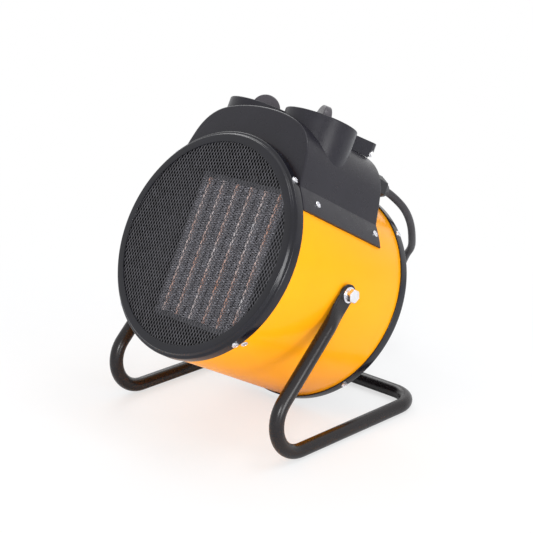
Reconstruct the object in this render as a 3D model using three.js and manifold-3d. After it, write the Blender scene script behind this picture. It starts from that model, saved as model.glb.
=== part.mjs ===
// Round tilting ceramic fan heater on a bent tube stand, millimetres, +Z up, front facing -Y.
import * as THREE from 'three';
import { mergeVertices } from 'three/addons/utils/BufferGeometryUtils.js';
import Module from 'manifold-3d';

const wasm = await Module();
wasm.setup();

// ------------------------------------------------------------------ driving dimensions
// Heater frame: x across, b along the drum axis towards the rear, u across it towards the hood;
// its origin is the point of the drum axis between the two pivot bolts.
const TILT = 29;              // drum axis above the horizontal in the modelled pose, degrees
const PIVOT_H = 153.8;        // pivot bolts above the floor
const ORIGIN_Y = 0.14;        // pivot bolts behind the middle of the whole heater

const RING_R = 120;           // outside radius of both end rings
const RING_T = 1.2;           // sheet of the rings
const FIT = 0.35;             // clearance between turned pieces that nest
const SEAT = 0.3;             // clearance of a piece cut to its neighbour
const SHEET = 1.0;            // sheet of the drum
const TURN = 48;              // facets of the large turned pieces
const FACE_B = -98.9;         // front plane of the front ring
const CREST_IN = 4.8;         // raised face inside the rim
const FACE_W = 8.2;           // width of the raised face, out to in
const LIP_B = -94.6;          // front of the ring's outer lip
const SKIRT_B = -85.3;        // rear edge of the front ring's skirt
const REAR_SKIRT_B = 85.4;    // front edge of the rear ring's skirt
const REAR_B = 96.6;          // rear plane of the rear ring
const REAR_FACE = 12;         // width of the rear ring's face
const GRILLE_T = 0.8;         // sheet of both grilles
const GRILLE_PITCH = 22;      // spacing of the grille openings across a row
const GRILLE_WEB = 4;         // metal between two grille openings
const GUARD_ROWS = 3;         // rows of slots in the rear guard
const GUARD_WEB = 5;          // metal between two slots of the rear guard
const GUARD_HUB_R = 30;       // plain middle of the rear guard
const HEAD_R = 3.6;           // screw heads
const HEAD_H = 2;
const BRACE_SCREW = 133;      // screws of the side baffles, from the crown, degrees
const HOOD_SCREW = 54;        // screws of the hood flange, from the crown, degrees

const HOOD_FRONT = -85;       // foot of the hood's front wall
const HOOD_REAR = 47;         // rear wall of the hood
const HOOD_DRAFT = 4.5;       // the front wall leans back by this at the crown
const HOOD_RISE = 2.4;        // the crown climbs by this towards the rear
const HOOD_WALL = 2.6;        // moulded wall
const FLANGE_T = 2.3;         // foot flange that lies on the drum
const FLANGE_TIP = 60.3;      // angle of the flange tip from the crown, degrees
const FLANGE_ROOT = 47.8;     // angle of the crease over the flange
const KNOB_X = 41;            // each knob axis to the middle
const KNOB_B = -35;           // knob axes along the drum
const KNOB_ROOM = 2.9;        // gap round a knob in its well
const WELL_WALL = 2.7;        // wall of a knob well
const WELL_RISE = 7.8;        // rim of the wells above the crown
const WELL_DEPTH = 9.5;       // well floor below the rim
const WELL_TOWER = 49;        // height of the well towers, mostly inside the hood
const KNOB_GAP = 1.1;         // knob skirt above the well floor
const KNOB_R = 33.4;          // knob skirt
const KNOB_SKIRT = 5.2;       // height of the knob skirt
const GRIP_R = 15.5;          // half disc of the knob grip
const GRIP_T = 11;            // thickness of the knob grip
const GRIP_LIFT = 3.4;        // straight part of the grip above the skirt
const KNOB1_TURN = 45;        // thermostat knob in the modelled pose, degrees
const KNOB2_TURN = -32;       // selector knob in the modelled pose, degrees
const SHAFT_R = 3;            // control shafts
const BORE_GAP = 0.35;        // clearance round a shaft

const GRIPBAR_X = 47;         // half width of the rear grip
const GRIPBAR_B0 = 20;        // front of the rear grip
const GRIPBAR_B1 = 61;        // rear of the rear grip
const GRIPBAR_UP = 12.2;      // top of the rear grip above the crown
const GRIPBAR_RISE = 0.06;    // it climbs by this share towards the rear
const GRIPBAR_LIP_UP = 5.5;   // underside of its overhang above the crown
const GRIPBAR_CORNER = 13;    // corner radius in plan

const GLAND_IN = 28.67;       // cord gland inside the crease of the hood
const GLAND_DOWN = 29.2;      // gland below the crown
const GLAND_THREAD = 8;       // radius of its thread
const GLAND_AF = 23;          // across flats of the gland body
const GLAND_END = 73;         // mouth of the dome nut

const ELEM_FRONT = -66.5;     // front of the heating element
const ELEM_DEPTH = 26;
const ELEM_UNITS = 6;         // heating bars
const ELEM_PITCH = 20.5;
const ELEM_TOP = 76.5;
const ELEM_BOTTOM = -81.5;
const ELEM_SIDE = 1.2;        // side channel sheet
const ELEM_CAP = 5;           // end caps
const BAR_T = 2.6;            // heating bar
const FIN_T = 0.7;            // fin strip
const FIN_FOLDS = 7;          // folds of a fin strip
const BAFFLE_GAP = 7.4;       // dark gap between element and side baffle
const BAFFLE_T = 1.2;
const BAFFLE_FOLD = 12;       // its folded edge beside the element
const RAIL_W = 14;            // rails that carry the element
const RAIL_T = 1.5;
const RAIL_U = 58;            // rails above and below the axis

const RAIL_LIP = 8;           // their folded edge, towards the rear
const CUTOUT_R = 8;           // thermal cut-out
const CUTOUT_H = 8;

const THERMO_X = 17;          // thermostat body, half width and half depth
const THERMO_B = 14;
const THERMO_H = 22;
const THERMO_CAP_R = 11;
const THERMO_CAP = 5;
const SWITCH_R = 17;          // selector switch body
const SWITCH_H = 20;
const SWITCH_EAR = 21;        // its mounting ears
const SWITCH_EAR_B = 8;
const CONTROL_GRIP = 6;       // how far the shafts reach into the bodies
const SHAFT_UP = 9;           // how far they reach into the knobs
const TERMINAL_X = 9;         // terminal block, half width
const TERMINAL_B0 = -8;
const TERMINAL_POLES = 4;
const TERMINAL_PITCH = 10;
const TERMINAL_H = 14;
const TERMINAL_SCREW_R = 2.6;

const MOTOR_R = 30;
const MOTOR_FRONT = 50;
const MOTOR_REAR = 86;
const SPIDER_T = 1.5;         // sheet of the motor bracket
const ARM_W = 15;             // arms of the motor bracket
const SPIDER_FOOT = 12;       // its folded feet, along the drum
const FAN_TIP = 11.45;        // blade tips to the drum
const FAN_HUB_R = 24;
const FAN_HUB = 18;           // length of the hub
const FAN_MID = 35;           // middle of the hub along the axis
const BLADES = 5;
const BLADE_T = 1.8;

const TUBE = 15;              // stand tube diameter
const STAND_OUT = 3.2;        // tube centre outside the rings
const STAND_FRONT = -152.95;  // corner of leg and floor run, from the pivot
const STAND_BACK = 113.95;    // cross tube, from the pivot
const BEND_FRONT = 34;        // centreline radius of the front bends
const BEND_BACK = 31;         // centreline radius of the rear bends
const TAB_T = 3;              // flattened tube end
const TAB_R = 10.6;           // its half width and end radius
const TAB_FLAT = 14;          // fully flat down to here
const TAB_TAPER = 27;         // then round again over this length
const TAB_SHIFT = 1.3;        // pressed flat towards the drum by this
const BOLT_R = 4;             // pivot bolt
const BOLT_AF = 13;
const BOLT_HEAD = 5.3;
const WASHER_T = 1.6;
const WASHER_R = 8.4;
const SPRING_T = 2.2;
const SPRING_R = 6.9;
const HOLE_GAP = 0.3;

const CORD = 8.5;             // cord diameter
const COIL_X = -120.5;        // coil on the floor behind the heater, from the pivots
const COIL_Y = 221.4;
const COIL_OUT = 55;          // centreline radius where the lead meets the coil
const COIL_START = -30;       // where the lead meets it, from the rear, degrees
const COIL_TURNS = 4 + 1 / 6; // in one layer, half a turn of climbing, and out in the next
const COIL_PITCH = 9.5;       // one turn to the next, and one layer to the next
const COIL_SIDES = 6;
const TIE_T = 0.9;
const TIE_W = 9;
const PLUG_R = 18.5;
const PLUG_L = 40;
const RELIEF_L = 27;          // rubber taper between cord and plug
const PIN_GAP = 19;
const PIN_R = 2.4;
const PIN_L = 19;

// ------------------------------------------------------------------ derived sizes
const rad = Math.PI / 180;
const DRUM_R = RING_R - RING_T - FIT;
const CREST_R = RING_R - CREST_IN;
const OPEN_R = CREST_R - FACE_W;
const REAR_OPEN_R = RING_R - REAR_FACE;
const FAN_R = DRUM_R - SHEET - FAN_TIP;
const DRUM_FRONT = LIP_B + RING_T + 0.7;
const RING_BACK = FACE_B + RING_T;
const GUARD_B = REAR_B - RING_T - GRILLE_T;
const DRUM_REAR = GUARD_B - 0.1;
const GRILLE_R = CREST_R - 1.5;
const HOOD_SEAT = DRUM_R + SEAT;
const WELL_IN = KNOB_R + KNOB_ROOM;
const WELL_R = WELL_IN + WELL_WALL;
const ELEM_REAR = ELEM_FRONT + ELEM_DEPTH;
const ELEM_W = ELEM_UNITS * ELEM_PITCH + 2 * ELEM_SIDE + 0.2;
const BAFFLE_X = ELEM_W / 2 + BAFFLE_GAP;
const STAND_HALF = RING_R + STAND_OUT;
const TAB_X = STAND_HALF - TAB_SHIFT;
const TAB_IN = TAB_X - TAB_T / 2;
const TAB_OUT = TAB_X + TAB_T / 2;
const HEAD_X = TAB_OUT + WASHER_T + SPRING_T;
const LINE = CORD / 2;
const COIL_TUBE = LINE * 1.045;
const COIL_Z = COIL_TUBE + TIE_T + 0.4;

const colour = (hex, rough, metal = 0) =>
  new THREE.MeshStandardMaterial({ color: hex, roughness: rough, metalness: metal });
const YELLOW = colour(0xffb51c, 0.28);
const BLACK = colour(0x232327, 0.42);
const PLASTIC = colour(0x434247, 0.72);
const ZINC = colour(0xd4d6dc, 0.3, 1);
const STEEL = colour(0x8d8f93, 0.45, 1);
const DARKSTEEL = colour(0x55565a, 0.5, 0.8);
const ALU = colour(0xb9bbbf, 0.4, 1);
const COPPER = colour(0xc9a58a, 0.4, 1);
const RUBBER = colour(0x2e2c30, 0.75);
const NYLON = colour(0x17171a, 0.5);
const CERAMIC = colour(0x5d5c5e, 0.8);

// ------------------------------------------------------------------ solids
function toSolid(geometry) {
  const g = geometry.clone();
  for (const name of Object.keys(g.attributes)) if (name !== 'position') g.deleteAttribute(name);
  const m = mergeVertices(g, 1e-4);
  const p = m.attributes.position.array;
  const t = Array.from(m.index.array);
  let volume = 0;
  const keep = [];
  for (let i = 0; i < t.length; i += 3) {
    const [a, b, c] = [t[i] * 3, t[i + 1] * 3, t[i + 2] * 3];
    if (a === b || b === c || a === c) continue;
    volume += p[a] * (p[b + 1] * p[c + 2] - p[b + 2] * p[c + 1])
      - p[a + 1] * (p[b] * p[c + 2] - p[b + 2] * p[c])
      + p[a + 2] * (p[b] * p[c + 1] - p[b + 1] * p[c]);
    keep.push(t[i], t[i + 1], t[i + 2]);
  }
  if (volume < 0) for (let i = 0; i < keep.length; i += 3) {
    [keep[i + 1], keep[i + 2]] = [keep[i + 2], keep[i + 1]];
  }
  return new wasm.Manifold(new wasm.Mesh({
    numProp: 3, vertProperties: Float32Array.from(p), triVerts: Uint32Array.from(keep),
  }));
}

function toGeometry(solid) {
  const mesh = solid.getMesh();
  const g = new THREE.BufferGeometry();
  g.setAttribute('position', new THREE.BufferAttribute(Float32Array.from(mesh.vertProperties), 3));
  g.setIndex(Array.from(mesh.triVerts));
  g.computeVertexNormals();
  return g;
}

const join = (...solids) => solids.reduce((a, b) => a.add(b));
const cut = (solid, ...tools) => tools.reduce((a, b) => a.subtract(b), solid);

// Axis-aligned block from its low and high corners.
function block(x0, x1, y0, y1, z0, z1) {
  const g = new THREE.BoxGeometry(x1 - x0, y1 - y0, z1 - z0);
  return toSolid(g.translate((x0 + x1) / 2, (y0 + y1) / 2, (z0 + z1) / 2));
}

// Cylinder or cone from point a to point b.
const rod = (...size) => toSolid(rodGeometry(...size));
function rodGeometry(a, b, r0, sides = 16, r1 = r0, spin = Math.PI / sides) {
  const [p, q] = [new THREE.Vector3(...a), new THREE.Vector3(...b)];
  const g = new THREE.CylinderGeometry(r1, r0, p.distanceTo(q), sides, 1);
  g.rotateY(spin);
  g.translate(0, p.distanceTo(q) / 2, 0);
  const turn = new THREE.Quaternion().setFromUnitVectors(
    new THREE.Vector3(0, 1, 0), q.clone().sub(p).normalize());
  g.applyQuaternion(turn);
  return g.translate(p.x, p.y, p.z);
}

// Profile [radius, b] turned round the drum axis.
function turned(profile, sides = TURN) {
  const pts = profile.map(([r, b]) => new THREE.Vector2(r, b));
  if (profile[0][0] > 0 || profile.at(-1)[0] > 0) pts.push(pts[0].clone());
  return toSolid(new THREE.LatheGeometry(pts, sides));
}

// Outline [x, u] run along b.
function prism(points, b0, b1, holes = []) {
  const shape = new THREE.Shape(points.map(([x, u]) => new THREE.Vector2(x, u)));
  for (const h of holes) shape.holes.push(new THREE.Path(h.map(([x, u]) => new THREE.Vector2(x, u))));
  const g = new THREE.ExtrudeGeometry(shape, { depth: b1 - b0, bevelEnabled: false });
  g.rotateX(Math.PI / 2);       // extrusion now runs towards -b, outline up stays u
  g.translate(0, b1, 0);
  return g;
}

// Outline [x, b] run along u.
function plan(points, u0, u1, holes = []) {
  const shape = new THREE.Shape(points.map(([x, b]) => new THREE.Vector2(x, b)));
  for (const h of holes) shape.holes.push(new THREE.Path(h.map(([x, b]) => new THREE.Vector2(x, b))));
  const g = new THREE.ExtrudeGeometry(shape, { depth: u1 - u0, bevelEnabled: false });
  g.translate(0, 0, u0);
  return g;
}

function move(geometry, change) {
  const p = geometry.attributes.position;
  const v = new THREE.Vector3();
  for (let i = 0; i < p.count; i++) {
    v.fromBufferAttribute(p, i);
    change(v);
    p.setXYZ(i, v.x, v.y, v.z);
  }
  return geometry;
}

const polar = (r, deg) => [r * Math.sin(deg * rad), r * Math.cos(deg * rad)];

function circle(x, y, r, n, from = 0) {
  return Array.from({ length: n }, (_, i) => {
    const a = from + i * 2 * Math.PI / n;
    return [x + r * Math.cos(a), y + r * Math.sin(a)];
  });
}

// A bent line that keeps the chosen points and tangents when a section is run along it.
class Route extends THREE.Curve {
  constructor(points, tangents) {
    super();
    this.points = points;
    this.tangents = tangents ?? points.map((p, i) => {
      const a = points[Math.max(0, i - 1)];
      const b = points[Math.min(points.length - 1, i + 1)];
      return b.clone().sub(a).normalize();
    });
  }
  getSpacedPoints() { return this.points.map((p) => p.clone()); }
  getPointAt(t, target = new THREE.Vector3()) {
    return target.copy(this.points[Math.round(t * (this.points.length - 1))]);
  }
  getTangentAt(t, target = new THREE.Vector3()) {
    return target.copy(this.tangents[Math.round(t * (this.points.length - 1))]);
  }
}

// Regular section run along a route; flats of the section face the frame's two directions.
function sweep(route, radius, sides) {
  const section = new THREE.Shape(circle(0, 0, radius, sides, Math.PI / sides)
    .map(([x, y]) => new THREE.Vector2(x, y)));
  return new THREE.ExtrudeGeometry(section,
    { steps: route.points.length - 1, bevelEnabled: false, extrudePath: route });
}

// ------------------------------------------------------------------ scene
const object = new THREE.Group();
object.name = 'forced_air_heater';
const floor = new THREE.Group();          // standing frame: pivot line over the floor
floor.position.set(0, ORIGIN_Y, 0);
const tilt = new THREE.Group();           // heater frame
tilt.position.set(0, 0, PIVOT_H);
tilt.rotation.x = -TILT * rad;
floor.add(tilt);
object.add(floor);

function add(parent, name, solid, material) {
  const mesh = new THREE.Mesh(solid.isBufferGeometry ? solid : toGeometry(solid), material);
  mesh.name = name;
  parent.add(mesh);
  return mesh;
}

// screw heads on a round surface of radius r, at [angle from the crown, b]
const heads = (list, r) => list.map(([deg, b]) => {
  const at = (d) => { const [x, u] = polar(d, deg); return [x, b, u]; };
  return rod(at(r - 0.6), at(r + HEAD_H), HEAD_R, 8, HEAD_R * 0.8);
});
const quarters = [45, 135, 225, 315];

// ------------------------------------------------------------------ drum and rings
const pivotHole = (r, x0, x1) => rod([x0, 0, 0], [x1, 0, 0], r, 16);
const boltHole = BOLT_R + HOLE_GAP;
let drum = turned([[DRUM_R - SHEET, DRUM_FRONT], [DRUM_R, DRUM_FRONT],
  [DRUM_R, DRUM_REAR], [DRUM_R - SHEET, DRUM_REAR]]);
drum = cut(drum, pivotHole(boltHole, -RING_R - 5, RING_R + 5));
// cable opening under the hood
drum = cut(drum, rod([30, 20, DRUM_R - 12], [30, 20, DRUM_R + 4], 9, 12));
const braceB = SKIRT_B + 4.6;
add(tilt, 'drum_shell', join(drum,
  ...heads([[BRACE_SCREW, braceB], [-BRACE_SCREW, braceB]], DRUM_R)), YELLOW);

const ringIn = RING_R - RING_T;
add(tilt, 'front_ring', join(turned([
  [OPEN_R, FACE_B], [CREST_R, FACE_B], [CREST_R + 1.4, FACE_B + 3.4], [RING_R - 1, LIP_B],
  [RING_R, LIP_B + 1], [RING_R, SKIRT_B], [ringIn, SKIRT_B], [ringIn, LIP_B + RING_T + 0.4],
  [CREST_R + 0.6, FACE_B + 3.4 + RING_T], [CREST_R - 1, RING_BACK], [OPEN_R, RING_BACK],
]), ...heads(quarters.map((a) => [a, (LIP_B + SKIRT_B) / 2]), RING_R)), BLACK);

add(tilt, 'rear_ring', join(turned([
  [ringIn, REAR_SKIRT_B], [RING_R, REAR_SKIRT_B], [RING_R, REAR_B - 1.2], [RING_R - 1.2, REAR_B],
  [REAR_OPEN_R, REAR_B], [REAR_OPEN_R, REAR_B - RING_T], [ringIn, REAR_B - RING_T],
]), ...heads(quarters.map((a) => [a, (REAR_SKIRT_B + REAR_B) / 2]), RING_R)), BLACK);

// front grille: staggered diamond openings in one sheet
const grilleHoles = [];
const halfX = (GRILLE_PITCH - GRILLE_WEB) / 2;
const rowStep = GRILLE_PITCH / 2;
for (let row = -20; row <= 20; row++) {
  for (let col = -12; col <= 12; col++) {
    const x = (col + (row & 1 ? 0.5 : 0)) * GRILLE_PITCH;
    const u = row * rowStep;
    const reach = Math.hypot(Math.abs(x) + halfX * 0.7, Math.abs(u) + halfX * 0.7);
    if (reach > OPEN_R - 1) continue;
    grilleHoles.push([[x - halfX, u], [x, u - halfX], [x + halfX, u], [x, u + halfX]]);
  }
}
add(tilt, 'front_grille', toSolid(prism(circle(0, 0, GRILLE_R, TURN),
  RING_BACK + 0.05, RING_BACK + 0.05 + GRILLE_T, grilleHoles)), BLACK);

// rear guard: rows of tapered slots round a plain middle
const guardHoles = [];
const guardOut = REAR_OPEN_R - 4;
const rowDepth = (guardOut - GUARD_HUB_R - (GUARD_ROWS - 1) * GUARD_WEB) / GUARD_ROWS;
for (let row = 0; row < GUARD_ROWS; row++) {
  const r0 = GUARD_HUB_R + row * (rowDepth + GUARD_WEB);
  const r1 = r0 + rowDepth;
  const count = 6 * (row + 2);
  for (let i = 0; i < count; i++) {
    const mid = i * 360 / count;
    const at = (r) => 180 / count - (GUARD_WEB / 2) / r / rad;
    guardHoles.push([polar(r0, mid - at(r0)), polar(r1, mid - at(r1)),
      polar(r1, mid + at(r1)), polar(r0, mid + at(r0))]);
  }
}
add(tilt, 'rear_guard', toSolid(prism(circle(0, 0, ringIn - FIT, TURN),
  GUARD_B, GUARD_B + GRILLE_T - 0.05, guardHoles)), BLACK);

// ------------------------------------------------------------------ control hood
// Right half of the hood's section, from the flange crease up to the crown, as steps from the
// crease; the crease lies on the flange, so the section follows the drum.
const crease = polar(HOOD_SEAT + FLANGE_T, FLANGE_ROOT);
const SIDE = [
  [-2.37, 8.69], [-5.07, 19.69], [-7.47, 28.69], [-10.07, 36.69], [-13.47, 43.69], [-18.27, 50.49],
  [-24.67, 56.69], [-32.87, 61.89], [-43.67, 65.99], [-58.67, 69.39], [-74.17, 71.29],
].map(([x, u]) => [crease[0] + x, crease[1] + u]);
const CROWN = crease[1] + 71.89;
const WELL_RIM = CROWN + WELL_RISE;
const WELL_FLOOR = WELL_RIM - WELL_DEPTH;
const WELL_FOOT = WELL_RIM - WELL_TOWER;
const GRIPBAR_TOP = CROWN + GRIPBAR_UP;
const GRIPBAR_LIP = CROWN + GRIPBAR_LIP_UP;
const GLAND_X = crease[0] - GLAND_IN;
const GLAND_U = CROWN - GLAND_DOWN;
const mirror = (half) => half.concat(half.slice().reverse().map(([x, u]) => [-x, u]));
function offset(points, d) {            // open line moved sideways by d, outwards positive
  return points.map((p, i) => {
    const a = points[Math.max(0, i - 1)];
    const b = points[Math.min(points.length - 1, i + 1)];
    const [dx, du] = [b[0] - a[0], b[1] - a[1]];
    const l = Math.hypot(dx, du);
    return [p[0] + d * du / l, p[1] - d * dx / l];
  });
}
const crest = [...SIDE, [0, CROWN], ...SIDE.slice().reverse().map(([x, u]) => [-x, u])];
const lean = (v) => {                   // draft of the front wall and rise of the crown
  const up = Math.max(0, (v.z - CROWN + 93.2) / 93.2);
  const back = (v.y - HOOD_FRONT) / (HOOD_REAR - HOOD_FRONT);
  const high = Math.max(0, (v.z - CROWN + 71.2) / 71.2);
  v.y += HOOD_DRAFT * up * (1 - back);
  if (Math.hypot(v.x, v.z) > HOOD_SEAT + 1) v.z += HOOD_RISE * high * back;
};
const flange = [0, 1, 2, 3].map((i) =>
  polar(HOOD_SEAT + FLANGE_T, FLANGE_TIP + (FLANGE_ROOT - FLANGE_TIP) * i / 3));
const underside = [-1, -0.5, 0, 0.5, 1].map((t) => polar(HOOD_SEAT - 3, FLANGE_TIP * t));
const saddle = toSolid(move(prism([
  ...flange, ...crest, ...flange.slice().reverse().map(([x, u]) => [-x, u]), ...underside,
], HOOD_FRONT, HOOD_REAR), lean));

const inner = offset(crest, -HOOD_WALL);
const foot = [7, 30].map((d) => [inner[0][0] + 0.3, SIDE[0][1] - d]);
const ceiling = WELL_FLOOR - HOOD_WALL;
const cavity = toSolid(move(prism([
  ...foot.slice().reverse(), ...inner, ...foot.map(([x, u]) => [-x, u]),
], HOOD_FRONT + HOOD_WALL, HOOD_REAR - HOOD_WALL), (v) => {
  lean(v);
  v.z = Math.min(v.z, ceiling);
}));
let hood = saddle;
let hollow = cavity;
const knobX = [-KNOB_X, KNOB_X];
for (const x of knobX) {
  hood = hood.add(rod([x, KNOB_B, WELL_FOOT], [x, KNOB_B, WELL_RIM], WELL_R, 36));
  hollow = hollow.add(rod([x, KNOB_B, WELL_FOOT - 1], [x, KNOB_B, ceiling], WELL_IN, 36));
}
hood = cut(hood, hollow, turned([[0, HOOD_FRONT - 5], [HOOD_SEAT, HOOD_FRONT - 5],
  [HOOD_SEAT, HOOD_REAR + 5], [0, HOOD_REAR + 5]]));
for (const x of knobX) {
  hood = cut(hood, rod([x, KNOB_B, WELL_FLOOR], [x, KNOB_B, WELL_RIM + 5], WELL_IN, 36),
    rod([x, KNOB_B, ceiling - 2], [x, KNOB_B, WELL_RIM], SHAFT_R + BORE_GAP, 16));
}
hood = cut(hood, rod([GLAND_X, HOOD_REAR - 8, GLAND_U], [GLAND_X, HOOD_REAR + 4, GLAND_U],
  GLAND_THREAD + HOLE_GAP, 20));
add(tilt, 'control_hood', join(hood, ...heads([-1, 1].flatMap((s) =>
  [[s * HOOD_SCREW, HOOD_FRONT + 24], [s * HOOD_SCREW, HOOD_REAR - 9]]), HOOD_SEAT + FLANGE_T)),
PLASTIC);

// ------------------------------------------------------------------ knobs and controls
function knob(x, turnDeg) {
  const z0 = WELL_FLOOR + KNOB_GAP;
  const z1 = z0 + KNOB_SKIRT;
  const skirt = join(rod([0, 0, z0], [0, 0, z1 - 1.2], KNOB_R, 32),
    rod([0, 0, z1 - 1.2], [0, 0, z1], KNOB_R, 32, KNOB_R - 1.2));
  // half disc grip, a little thinner towards its top
  const arc = Array.from({ length: 9 }, (_, i) => {
    const a = Math.PI * i / 8;
    return [GRIP_R * Math.cos(a), z1 + GRIP_LIFT + GRIP_R * Math.sin(a)];
  });
  const g = prism([[-GRIP_R, z1 - 1], [GRIP_R, z1 - 1], ...arc], -GRIP_T / 2, GRIP_T / 2);
  move(g, (v) => { v.y *= 1 - 0.22 * (v.z - z1) / (GRIP_LIFT + GRIP_R); });
  let body = join(skirt, toSolid(g));
  // raised pointer ridge on the skirt, in line with the grip
  body = body.add(block(GRIP_R - 2, KNOB_R - 3, -1.1, 1.1, z1 - 0.6, z1 + 1));
  body = cut(body, rod([0, 0, z0 - 1], [0, 0, z0 + SHAFT_UP], SHAFT_R + BORE_GAP, 16));
  return body.rotate([0, 0, turnDeg]).translate([x, KNOB_B, 0]);
}
add(tilt, 'thermostat_knob', knob(-KNOB_X, KNOB1_TURN), PLASTIC);
add(tilt, 'selector_knob', knob(KNOB_X, KNOB2_TURN), PLASTIC);
const shaftTop = WELL_FLOOR + KNOB_GAP + SHAFT_UP - 0.4;
const bodyTop = ceiling - 0.1;
const shaftFoot = bodyTop - CONTROL_GRIP;
for (const [x, name] of [[-KNOB_X, 'thermostat_shaft'], [KNOB_X, 'selector_shaft']]) {
  const flat = block(x + SHAFT_R * 0.72, x + SHAFT_R * 2, KNOB_B - 4, KNOB_B + 4,
    bodyTop + 8, shaftTop + 1);
  add(tilt, name, cut(rod([x, KNOB_B, shaftFoot + 0.3], [x, KNOB_B, shaftTop], SHAFT_R, 16),
    flat), STEEL);
}
const controlBore = (x) => rod([x, KNOB_B, shaftFoot], [x, KNOB_B, bodyTop + 2],
  SHAFT_R + BORE_GAP, 16);
add(tilt, 'thermostat_body', cut(join(
  block(-KNOB_X - THERMO_X, -KNOB_X + THERMO_X, KNOB_B - THERMO_B, KNOB_B + THERMO_B,
    bodyTop - THERMO_H, bodyTop),
  rod([-KNOB_X, KNOB_B, bodyTop - THERMO_H - THERMO_CAP], [-KNOB_X, KNOB_B, bodyTop - THERMO_H],
    THERMO_CAP_R, 20),
), controlBore(-KNOB_X)), CERAMIC);
add(tilt, 'selector_switch', cut(join(
  rod([KNOB_X, KNOB_B, bodyTop - SWITCH_H], [KNOB_X, KNOB_B, bodyTop], SWITCH_R, 24),
  block(KNOB_X - SWITCH_EAR, KNOB_X + SWITCH_EAR, KNOB_B - SWITCH_EAR_B, KNOB_B + SWITCH_EAR_B,
    bodyTop - 3, bodyTop),
), controlBore(KNOB_X)), NYLON);
const terminalB = (pole) => TERMINAL_B0 + TERMINAL_PITCH * pole;
let strip = block(-TERMINAL_X, TERMINAL_X, TERMINAL_B0, terminalB(TERMINAL_POLES) + 2,
  DRUM_R + SEAT, DRUM_R + TERMINAL_H);
for (let pole = 0; pole < TERMINAL_POLES; pole++) {
  const b = terminalB(pole + 0.6);
  strip = cut(strip, rod([0, b, DRUM_R + TERMINAL_H / 2 - 1], [0, b, DRUM_R + TERMINAL_H + 2],
    TERMINAL_SCREW_R, 10));
}
add(tilt, 'terminal_block', strip, NYLON);

// ------------------------------------------------------------------ rear grip of the hood
const cornerArc = (cx, cy, r, a0, n = 4) => Array.from({ length: n + 1 }, (_, i) =>
  [cx + r * Math.cos((a0 + 90 * i / n) * rad), cy + r * Math.sin((a0 + 90 * i / n) * rad)]);
const inFoot = GRIPBAR_X - 3;
const gripPlan = [[-inFoot, GRIPBAR_B0], [inFoot, GRIPBAR_B0],
  ...cornerArc(GRIPBAR_X - GRIPBAR_CORNER, GRIPBAR_B1 - GRIPBAR_CORNER, GRIPBAR_CORNER, 0),
  ...cornerArc(-GRIPBAR_X + GRIPBAR_CORNER, GRIPBAR_B1 - GRIPBAR_CORNER, GRIPBAR_CORNER, 90)];
let grip = toSolid(move(plan(gripPlan, CROWN - 15.2, GRIPBAR_TOP), (v) => {
  if (v.z > CROWN) v.z += GRIPBAR_RISE * (v.y - GRIPBAR_B0);
}));
const gripSeat = toSolid(move(prism([
  [SIDE[0][0], SIDE[0][1] - 30], ...offset(crest, SEAT), [-SIDE[0][0], SIDE[0][1] - 30],
], HOOD_FRONT, HOOD_REAR), lean)).add(
  block(-GRIPBAR_X - 5, GRIPBAR_X + 5, HOOD_REAR - 2, HOOD_REAR + SEAT, SIDE[0][1] - 30,
    CROWN + HOOD_RISE - 6));
// outline [b, u] run across x
function across(points, x0, x1) {
  const g = new THREE.ExtrudeGeometry(new THREE.Shape(points.map(([b, u]) =>
    new THREE.Vector2(b, u))), { depth: x1 - x0, bevelEnabled: false });
  return toSolid(move(g, (v) => v.set(v.z + x0, v.x, v.y)));
}
const gripWide = GRIPBAR_X + 5;
const arch = across([[HOOD_REAR - 2, CROWN - 43], [GRIPBAR_B1 + 5, CROWN - 43],
  [GRIPBAR_B1 + 5, GRIPBAR_LIP - 0.6], [GRIPBAR_B1 - 5, GRIPBAR_LIP + 0.8],
  [HOOD_REAR + 3, GRIPBAR_LIP + 0.8], [HOOD_REAR + SEAT, GRIPBAR_LIP - 1.8],
  [HOOD_REAR - 2, CROWN - 13]], -gripWide, gripWide);
const pocketB = HOOD_REAR + 2.5;
const [lipX, lipB] = [GRIPBAR_X - GRIPBAR_CORNER, GRIPBAR_B1 - GRIPBAR_CORNER];
const lipIn = (deg) => [lipX + (GRIPBAR_CORNER - 2.7) * Math.cos(deg * rad),
  lipB + (GRIPBAR_CORNER - 2.7) * Math.sin(deg * rad)];
const pocketHalf = [lipIn(22), lipIn(45), lipIn(68), lipIn(90)];
const pocket = toSolid(plan([[-lipX - 8, pocketB], [lipX + 8, pocketB], ...pocketHalf,
  ...pocketHalf.slice().reverse().map(([x, b]) => [-x, b])], CROWN - 13, GRIPBAR_TOP - 1));
const core = toSolid(plan([[-inFoot + 3, GRIPBAR_B0 + 3], [inFoot - 3, GRIPBAR_B0 + 3],
  [inFoot - 3, HOOD_REAR - 3], [-inFoot + 3, HOOD_REAR - 3]], CROWN - 33, GRIPBAR_TOP - 2.6));
grip = cut(grip, gripSeat, arch, pocket, core);
add(tilt, 'rear_grip', grip, PLASTIC);

// wire eye hanging in the corner of the grip's lip
const WIRE_R = 0.8;
const eyeAt = (deg) => [lipX + (GRIPBAR_CORNER - 1.4) * Math.cos(deg * rad),
  lipB + (GRIPBAR_CORNER - 1.4) * Math.sin(deg * rad)];
const eyeTop = GRIPBAR_LIP - 0.75;
const eyePath = [[22, 0], [22, -2.2], [27, -3.9], [40, -4.5], [62, -4.5], [75, -3.9], [80, -2.2],
  [80, 0]].map(([deg, du]) => new THREE.Vector3(...eyeAt(deg), eyeTop + du));
add(tilt, 'wire_eye', toSolid(sweep(new Route(eyePath, [
  new THREE.Vector3(0, 0, -1), ...eyePath.slice(1, -1).map((p, i) =>
    eyePath[i + 2].clone().sub(eyePath[i]).normalize()), new THREE.Vector3(0, 0, 1)]),
  WIRE_R, 6)), ZINC);

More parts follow.
